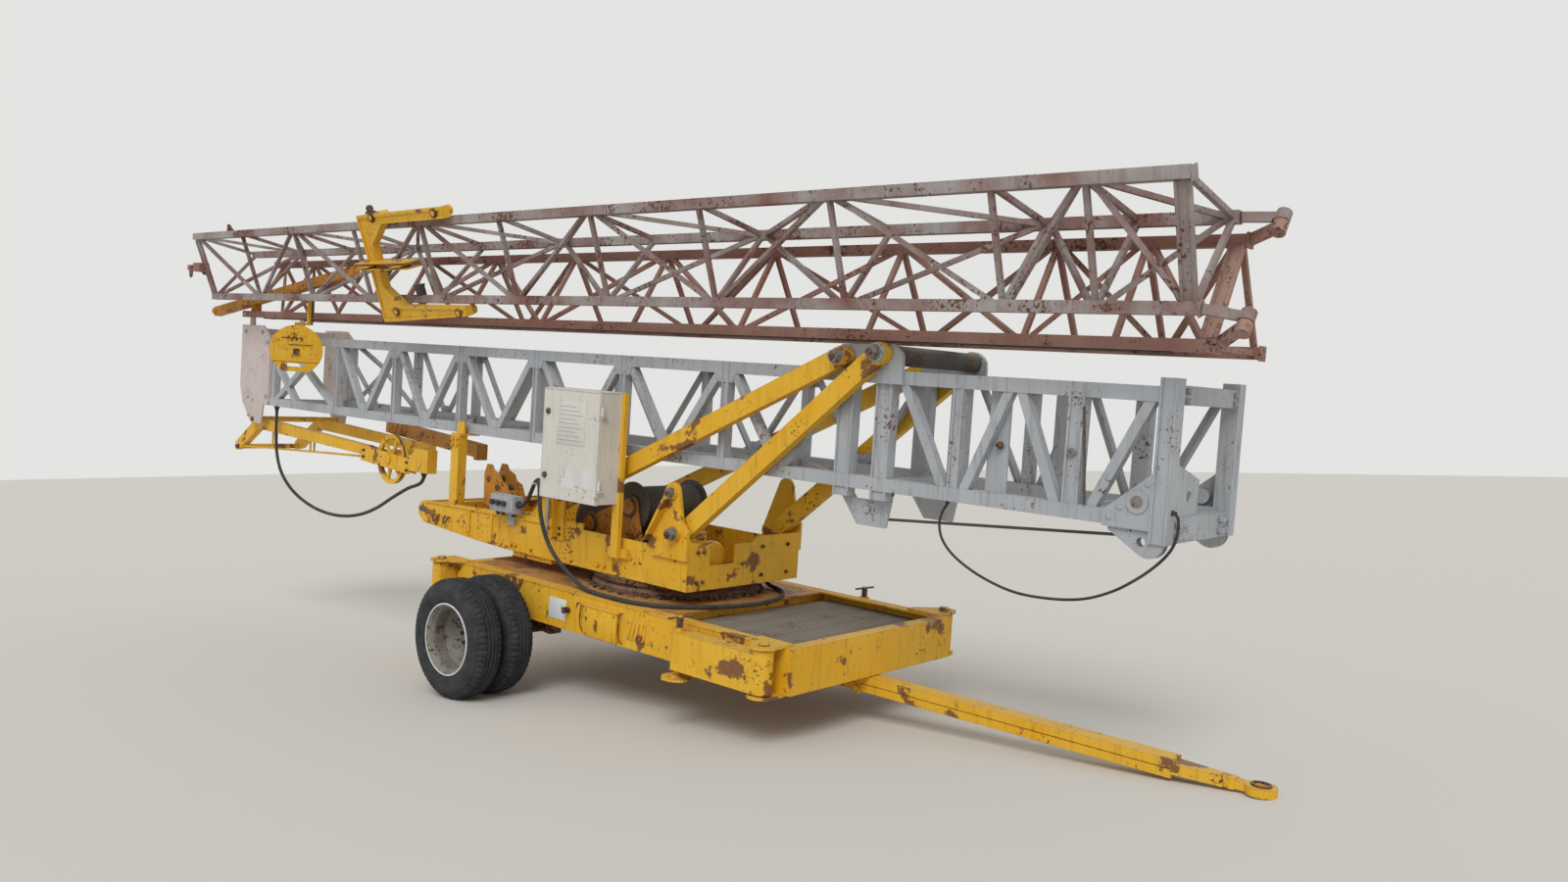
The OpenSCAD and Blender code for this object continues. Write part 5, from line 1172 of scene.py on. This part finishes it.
@dataclass(frozen=True)
class CabinetTrim:
    """Parts of the switch cabinet, inside and out, and of the junction box beside it, in millimetres."""

    door_y: float = -749.0
    plate_y: float = -591.0
    rows: tuple[Row, ...] = (Row(1850, 262, 38, 78, 58, 9), Row(1690, 268, 74, 92, 74, 5),
                             Row(1530, 262, 14, 62, 44, 30))
    switch_gap: float = 1.5
    ducts: tuple[float, ...] = (1935, 1772, 1610, 1412)
    wire_r: float = 2.6

    def build(self) -> None:
        """Make every part."""
        self._door()
        self._box()
        self._plate()
        self._switches()
        self._junction_box()

    def _door(self) -> None:
        """Rim, panel, labels and locks of the door."""
        y = self.door_y
        door = Form()
        # Rolled rim, open at the corners where the press folded it
        for x0, z0, x1, z1 in ((208, 1314, 216, 2027), (760, 1314, 768, 2027), (218, 1314, 758, 1322),
                               (218, 2019, 758, 2027)):
            door.box((x0, y - 5, z0), (x1, y, z1))
        door.box((349, y - 4, 1673), (629, y, 1952))
        door.piece("door_rim_and_panel", "door", Finish.CREAM, 0.9)
        lines = Form()
        for k in range(9):
            lines.box((368, y - 5.2, 1700 + 27 * k), (610 - 36 * (k % 3), y - 3.8, 1703 + 27 * k))
        lines.piece("panel_lines", "door", Finish.SILVER)
        labels = Form()
        labels.prism([(418, 1394), (561, 1394), (489, 1561)], y - 2.5, y)
        labels.box((622, y - 2.5, 1411), (728, y, 1529))
        labels.piece("door_labels_left_bare", "door", Finish.LABEL)
        locks = Form()
        for x, z in ((255, 1876), (250, 1459)):
            locks.lathe([(0, 0), (0, 20), (4, 21), (8, 18), (9, 12), (16, 11), (18, 8), (18, 0)], (x, y - 1, z),
                        (0, -1, 0), 24)
            locks.box((x - 4, y - 21, z - 13), (x + 4, y - 15, z + 13))
        locks.piece("door_locks", "door", Finish.RUST)

    def _box(self) -> None:
        """Roof, glands and mounting bolts of the box."""
        roof = Form()
        roof.prism([(208, 2023), (772, 2023), (768, 2031), (212, 2031)], -726, -569)
        roof.piece("cabinet_roof", PLATFORM, Finish.CREAM, 1.2)
        glands = Form()
        for x in (300, 370, 440, 560):
            glands.lathe([(0, 0), (0, 21), (9, 21), (10, 17), (24, 17), (32, 12), (34, 0)], (x, -650, 1319),
                         (0, 0, -1), 12)
        glands.piece("cabinet_glands", PLATFORM, Finish.DECK)
        mounts = [Bolt((x, -571, z), (0, 1, 0), 16) for x in (240, 300) for z in (1330, 1350)]
        mounts += [Bolt((160, -534, z), (0, -1, 0), 18) for z in (1040, 1080, 1280)]
        heads(Finish.RUST).set("cabinet_mount_bolts", PLATFORM, mounts)

    def _plate(self) -> None:
        """Mounting plate with its rails, and the slotted wire ducts between them."""
        y = self.plate_y
        plate = Form()
        plate.box((236, y, 1346), (744, y + 4, 1995))
        for row in self.rows:
            plate.box((256, y - 10, row.z - 17), (724, y, row.z + 17))
        plate.piece("switchgear_plate", PLATFORM, Finish.SILVER)
        ducts = Form()
        for z in self.ducts:
            ducts.box((250, y - 43, z - 17), (730, y, z + 17))
            for x in (256 + 20.6 * k for k in range(23)):
                ducts.box((x, y - 46, z - 12), (x + 9, y - 43, z + 12))
        ducts.piece("switchgear_ducts", PLATFORM, Finish.CREAM, 0.8)

    def _switches(self) -> None:
        """Plain switches on the rails, with wires from the wide ones to the ducts."""
        gear, wires = Form(), Form()
        y = self.plate_y - 10
        for row in self.rows:
            z, wide, half = row.z, row.wide, row.high / 2
            front = y - row.deep * 0.7
            for k in range(row.count):
                x = row.start + (wide + self.switch_gap) * k
                gear.box((x, front, z - half), (x + wide, y, z + half))
                gear.box((x + wide * 0.15, y - row.deep, z - row.high * 0.28),
                         (x + wide * 0.85, front, z + row.high * 0.28))
                for t in (0.25, 0.5, 0.75) if wide > 20 else ():
                    at, way = x + wide * t, 1 if k % 2 else -1
                    wires.tube([(at, y - 11, z + way * half), (at, y - 21, z + way * (half + 12)),
                                (at + 3, y - 14, z + way * (half + 24))], self.wire_r, 6)
        gear.piece("switchgear_switches", PLATFORM, Finish.CABLE, 0.8)
        wires.piece("switchgear_wires", PLATFORM, Finish.DECK)

    def _junction_box(self) -> None:
        """Lid, knobs and glands of the junction box."""
        lid = Form()
        lid.prism([(-516, 1130), (-254, 1130), (-258, 1240), (-512, 1240)], -622, -614)
        lid.piece("junction_box_lid", PLATFORM, Finish.SILVER, 1.2)
        knobs = Form()
        for x in (-470, -405, -340):
            knobs.lathe([(0, 0), (0, 16), (10, 16), (12, 21), (24, 21), (27, 18), (27, 0)], (x, -622, 1190),
                        (0, -1, 0), 10)
        for x in (-480, -420, -300):
            knobs.lathe([(0, 0), (0, 17), (9, 17), (10, 13), (22, 13), (28, 9), (30, 0)], (x, -575, 1126),
                        (0, 0, -1), 12)
        knobs.piece("junction_box_knobs", PLATFORM, Finish.CABLE)
        corners = [Bolt((x, -622, z), (0, -1, 0), 9) for x in (-506, -266) for z in (1139, 1230)]
        heads(Finish.SILVER).set("junction_box_screws", PLATFORM, corners)


@dataclass(frozen=True)
class MastTrim:
    """Gussets, hooks, ropes, pins and bolts of the mast, its rear strut and the erecting gear, in millimetres."""

    panel: float = 925.0
    panels: int = 7
    first_x: float = -3130.0
    foot_rope_ys: Pair = (-310.0, -290.0)
    pulley_r: float = 196.0

    def build(self) -> None:
        """Make every part."""
        self._pins()
        self._gussets()
        self._foot()
        self._bolts()
        self._strut()

    def _pins(self) -> None:
        """Nuts, pin ends and split pins of the erecting gear."""
        for s, side in zip(SIDES, ("near", "far")):
            for body, spots in ((PLATFORM, [(1235, s * 554, 1446, 50), (1280, s * 566, 1200, 62)]),
                                ("long_pair", [(2425, s * 518, 2328, 64)]), ("mast", [(2675, s * 520, 2358, 64)])):
                heads(Finish.RIM).set(f"{body}_pin_nuts_{side}", body,
                                      [Bolt((x, y, z), (0, s, 0), w) for x, y, z, w in spots])
                form = Form()
                for x, y, z, w in spots:
                    tip = y + s * w * 0.66
                    form.rod((x, y, z), (x, tip + s * 14, z), w * 0.27, 20)
                    form.rod((x - w * 0.42, tip + s * 5, z + 3), (x + w * 0.42, tip + s * 5, z - 3), 3.2, 8, 0.8)
                form.piece(f"{body}_split_pins_{side}", body, Finish.RUST)

    def _gussets(self) -> None:
        """Gusset plates where the lattice meets the chords."""
        gussets = Form()
        for s in SIDES:
            y0, y1 = sorted((s * 402, s * 411))
            for i in range(self.panels):
                x = self.first_x + self.panel * i
                if i < self.panels - 1:
                    gussets.prism([(x + 400, 1682), (x + 525, 1682), (x + 496, 1742), (x + 430, 1742)], y0, y1)
                if 0 < i < self.panels - 1:
                    gussets.prism([(x - 86, 2200), (x + 86, 2200), (x + 58, 2140), (x - 58, 2140)], y0, y1)
        gussets.piece("mast_gussets", "mast", Finish.SILVER, 1.2)

    def _foot(self) -> None:
        """Hooks, rope anchors and the two ropes at the foot."""
        dark = Form()
        dark.rod((3843, -416, 2150), (3882, -416, 1690), 7, 10)
        dark.tube([(2782, -404, 1648), (2782, -405, 1618), (2782, -410, 1604), (2782, -418, 1604),
                   (2782, -422, 1620)], 6)
        dark.rod((2627, -324, 1453), (2627, -276, 1453), 14)
        for y in self.foot_rope_ys:
            dark.lathe([(0, 0), (0, 13), (60, 10), (66, 8), (66, 0)], (4212, y, 1575), (-1585, 0, -122), 14)
            dark.lathe([(0, 8), (0, 15), (3, 17), (13, 17), (16, 15), (16, 8)], (2627, y + 8, 1453), (0, -1, 0), 18)
        # A dark sleeve over the tube between the arms' lugs
        dark.lathe([(-404, 51), (-404, 54), (404, 54), (404, 51)], (2715, 0, 2348), (0, 1, 0), 40)
        dark.piece("mast_hooks_and_dark_fittings", "mast", Finish.DECK)
        ropes(7.0).run("mast_foot_ropes", "mast", [[(2640, y, 1454), (4160, y, 1571)] for y in self.foot_rope_ys])

    def _bolts(self) -> None:
        """Bolts of foot and head, and the low heads and pin ends that the erecting arms pass over."""
        foot = [Bolt((4290, y, z), (1, 0, 0), 30) for y in (-300, -230, 230, 300) for z in (1585, 1640)]
        foot += [Bolt((4290, y, z), (1, 0, 0), 24) for y in (-300, 300) for z in (2205, 2250)]
        foot += [Bolt((x, s * 424, z), (0, s, 0), 26) for s in SIDES for x, z in
                 ((-4370, 2200), (-4370, 1700), (-4480, 2290), (-4820, 2290), (-4700, 1500))]
        heads(Finish.SILVER).set("mast_bolts", "mast", foot)
        heads(Finish.RUST).set("mast_foot_bolts", "mast", [Bolt((3380, s * 364, 1926), (0, s, 0), 30) for s in SIDES])
        low, ends = Form(), Form()
        for s in SIDES:
            for x, z in ((4010, 1650), (4060, 1700), (4186, 1820)):
                low.lathe([(0, 0), (0, 14), (3, 13), (5, 8), (5, 0)], (x, s * 421, z), (0, s, 0), 20)
            ends.lathe([(0, 0), (0, 22), (5, 21), (8, 17), (8, 0)], (3796, s * 419, 1930), (0, s, 0), 28)
            ends.lathe([(0, 0), (0, 30), (0.5, 30), (1, 29), (1, 0)], (4143, s * 428, 1735), (0, s, 0))
        low.piece("mast_foot_rivets", "mast", Finish.SILVER)
        ends.piece("mast_foot_pin_ends", "mast", Finish.RIM)

    def _strut(self) -> None:
        """Pin nuts and rope of the rear strut."""
        nuts = [Bolt((-4620, s * 410, 1470), (0, s, 0), 40) for s in SIDES]
        nuts += [Bolt((-5105, s * 330, 1166), (0, s, 0), 36) for s in SIDES]
        nuts += [Bolt((x, -338, z), (0, -1, 0), 20)
                 for x, z in ((-2740, 1345), (-2740, 1290), (-2070, 1305), (-2070, 1240))]
        heads(Finish.RUST).set("strut_nuts", "mast", nuts)
        bend = arc(23, self.pulley_r, math.radians(100), math.radians(-7))
        ropes(5.0).run("guide_pulley_rope", "mast", [[(-2350 + c, -300, 1305 + s) for c, s in bend]])


@dataclass(frozen=True)
class Face:
    """A slanting face: where it starts on the level crane, and the directions along it, up it and out of it."""

    start: Vector
    up: Vector
    out: Vector
    along: Vector = Vector((1, 0, 0)).freeze()

    def at(self, along: float, up: float, out: float) -> Vector:
        """Return the point that lies so far along, up and out."""
        return self.start + self.along * along + self.up * up + self.out * out

    def block(self, form: Form, corner: Point, size: Point) -> None:
        """Add a block to a form by its corner and its size along, up and out."""
        form.slab(self.at(*corner), self.along * size[0], self.up * size[1], self.out * size[2])


@dataclass(frozen=True)
class JibTrim:
    """Wires, posts, lugs and sheaves of the jib, its trolley and the lashed hook block, in millimetres."""

    root: Face = Face(Vector((0, -420, 2453)), Vector((0, 0.5, 0.866)), Vector((0, -0.866, 0.5)))
    tip_low: Face = Face(Vector((0, -627.81, 2599.05)), Vector((0, -0.33874, 0.94088)), Vector((0, -0.94088, -0.33874)))
    tip_up: Face = Face(Vector((0, -821.23, 3136.29)), Vector((0, -0.33874, 0.94088)), Vector((0, -0.94088, -0.33874)))
    hook_at: Vector = Vector((-3390, -640, 2150)).freeze()
    hook_turn_deg: float = 62.0
    hook_half: float = 46.0
    wire_z: float = 2418.5

    def build(self) -> None:
        """Make every part."""
        self._wires()
        self._posts()
        self._tip()
        self._trolley()
        self._hook()

    def _wires(self) -> None:
        """Wires clipped under the root's near chord."""
        z = self.wire_z
        ropes(5.0).run("jib_root_wires", "jib_root", [[(-4450, y, z), (4250, y, z)] for y in (-436, -424, -412)])
        clips = Form()
        for x in range(-4300, 4071, 930):
            clips.box((x, -443, 2411), (x + 16, -405, 2414))
            for y in (-446, -405):
                clips.box((x, y, 2411), (x + 16, y + 3, 2425))
        clips.piece("jib_wire_clips", "jib_root", Finish.RUST)

    @staticmethod
    def _post(form: Form, face: Face, x: float, wide: float) -> None:
        """Add a wide pressed post with two flanges, which closes a lattice face.

        Args:
            form: The form that gets it.
            face: The lattice face that it closes.
            x: Where it starts along the jib.
            wide: Width of its web.
        """
        for flange in (x, x + wide + 12):
            face.block(form, (flange, 30, -6), (14, 511, 27))
        face.block(form, (x + 13, 30, 8), (wide, 511, 7))

    def _posts(self) -> None:
        """End plates and posts of both sections."""
        plates = Form()
        for y, z in ((-420, 2453), (151, 2453), (-134.5, 2947.5)):
            plates.box((4440, y - 36, z - 36), (4452, y + 36, z + 36))
        self._post(plates, self.root, 4362, 50)
        plates.piece("jib_root_end_plates", "jib_root", Finish.PRIMER, 1.4)
        tip = Form()
        for x in (4362, -5056):
            self._post(tip, self.tip_low, x, 46)
        for face in (self.tip_low, self.tip_up):
            face.block(tip, (4439, -33, -33), (9, 66, 66))
        tip.piece("jib_tip_end_posts", "jib_tip", Finish.WORN, 1.4)

    def _tip(self) -> None:
        """Lug, sheave, shackle and rope socket at the tip's nose, and the clamp box on its chord."""
        rusty = Form()
        self.tip_up.block(rusty, (-4364, 27, -8), (100, 26, 16))
        rusty.lathe([(0, 12), (0, 27), (2, 30), (14, 30), (16, 27), (16, 12)], self.tip_up.at(-4312, 63, -8),
                    self.tip_up.out, 24)
        rusty.lathe([(-13, 14), (-13, 62), (-10, 64), (0, 54), (10, 64), (13, 62), (13, 14)], (-5128, -695, 2858),
                    (0, 1, 0))
        rusty.rod((-5128, -712, 2858), (-5128, -668, 2858), 15)
        rusty.tube([(-5330, -752, 2840), (-5330, -752, 2800), (-5318, -752, 2776), (-5298, -752, 2776),
                    (-5286, -752, 2800), (-5286, -752, 2840)], 8)
        rusty.lathe([(0, 0), (0, 14), (50, 20), (66, 20), (70, 16), (70, 0)], (-5258, -776, 2862), (1, 0, 0), 16)
        rusty.piece("jib_tip_lug_and_sheave", "jib_tip", Finish.RUST)
        clamp = Form()
        self.tip_low.block(clamp, (-1520, 28, -22), (72, 78, 44))
        self.tip_low.block(clamp, (-1526, 104, -26), (84, 10, 52))
        clamp.piece("jib_tip_clamp_box", "jib_tip", Finish.DECK, 2.0)

    def _trolley(self) -> None:
        """Rusty sheaves, roller ends and rope clamp of the trolley's frame."""
        sheaves, face = Form(), self.tip_up
        for x in (-1910, -1460):
            sheaves.lathe([(-14, 60), (-14, 80), (-10, 81), (0, 70), (10, 81), (14, 80), (14, 60)],
                          face.at(x, -281, 128.1), face.up, 36)
            sheaves.lathe([(-46, 0), (-46, 15), (-42, 19), (18, 19), (22, 15), (22, 0)], face.at(x, -270, 128.1),
                          face.up, 16)
        low = -(self.tip_up.start - self.tip_low.start).length
        for up in (73, low - 73):
            for x in (-1715, -890):
                sheaves.lathe([(0, 20), (0, 33), (3, 35), (9, 35), (12, 33), (12, 20)], face.at(x, up, 105), face.out,
                              24)
        face.block(sheaves, (-1796, 100, 58), (84, 18, 40))
        sheaves.lathe([(-11, 8), (-11, 24), (-8, 27), (0, 21), (8, 27), (11, 24), (11, 8)], face.at(-1754, 136, 78),
                      (1, 0, 0), 20)
        sheaves.piece("trolley_sheaves_and_caps", "trolley", Finish.RUST)

    def _hook(self) -> None:
        """Square patch and rims of the hook block's cover, and the chain that lashes it."""
        turn = math.radians(self.hook_turn_deg)
        across, out = Vector((math.cos(turn), math.sin(turn), 0)), Vector((math.sin(turn), -math.cos(turn), 0))
        patch = Form()
        for s in SIDES:
            cover = Face(self.hook_at + out * (s * self.hook_half), Vector((0, 0, 1)), out * s, across)
            cover.block(patch, (-24, -44, -6), (48, 54, 7.5))
            cover.block(patch, (-120, 96, -6), (170, 7, 7))
            cover.block(patch, (-60, 40, -6), (190, 6, 7))
        patch.piece("hook_block_patches", "jib_tip", Finish.RUST)
        ChainLinks().hang("hook_block_chain", "jib_tip", (-3390, -511, 2392), (-3390, -511, 2594))


SLOT_FINISH: dict[str, Finish] = {
    "yellow": Finish.YELLOW, "silver": Finish.SILVER, "primer": Finish.PRIMER, "cream": Finish.CREAM,
    "deck": Finish.DECK, "rust": Finish.RUST, "rim": Finish.RIM, "tyre": Finish.TYRE, "rope": Finish.ROPE,
    "sheath": Finish.CABLE,
}
NODE_FINISH: dict[str, Finish] = {
    **dict.fromkeys(("jib_tip_base", "jib_tip_upper", "jib_tip_lower", "jib_tip_end"), Finish.WORN),
    **dict.fromkeys(("chassis_deck", "drum_frame", "strut_beam", "head_strut"), Finish.OCHRE),
    "mast_head": Finish.HEAD,
}


def dress_nodes(frame: dict[str, Any]) -> None:
    """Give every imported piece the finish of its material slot, or its own one.
    """
    slots = {part["node"]: part["material_slot"] for part in frame["record"]["subparts"]}
    for name, obj in frame["nodes"].items():
        NODE_FINISH.get(name, SLOT_FINISH[slots[name]]).paint(obj)


def main() -> None:
    """Load the frame, dress it and set up the studio."""
    logging.basicConfig(level=logging.INFO, format="%(message)s")
    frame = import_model()
    Viewpoint().build()
    for cable in CABLES:
        cable.lay()
    for part in (Wheels(), ChassisTrim(), PlatformTrim(), CabinetTrim(), MastTrim(), JibTrim()):
        part.build()
    dress_nodes(frame)
    LOG.info("dressed %d packed pieces", len(frame["nodes"]))
    Studio().build()


if __name__ == "__main__":
    main()
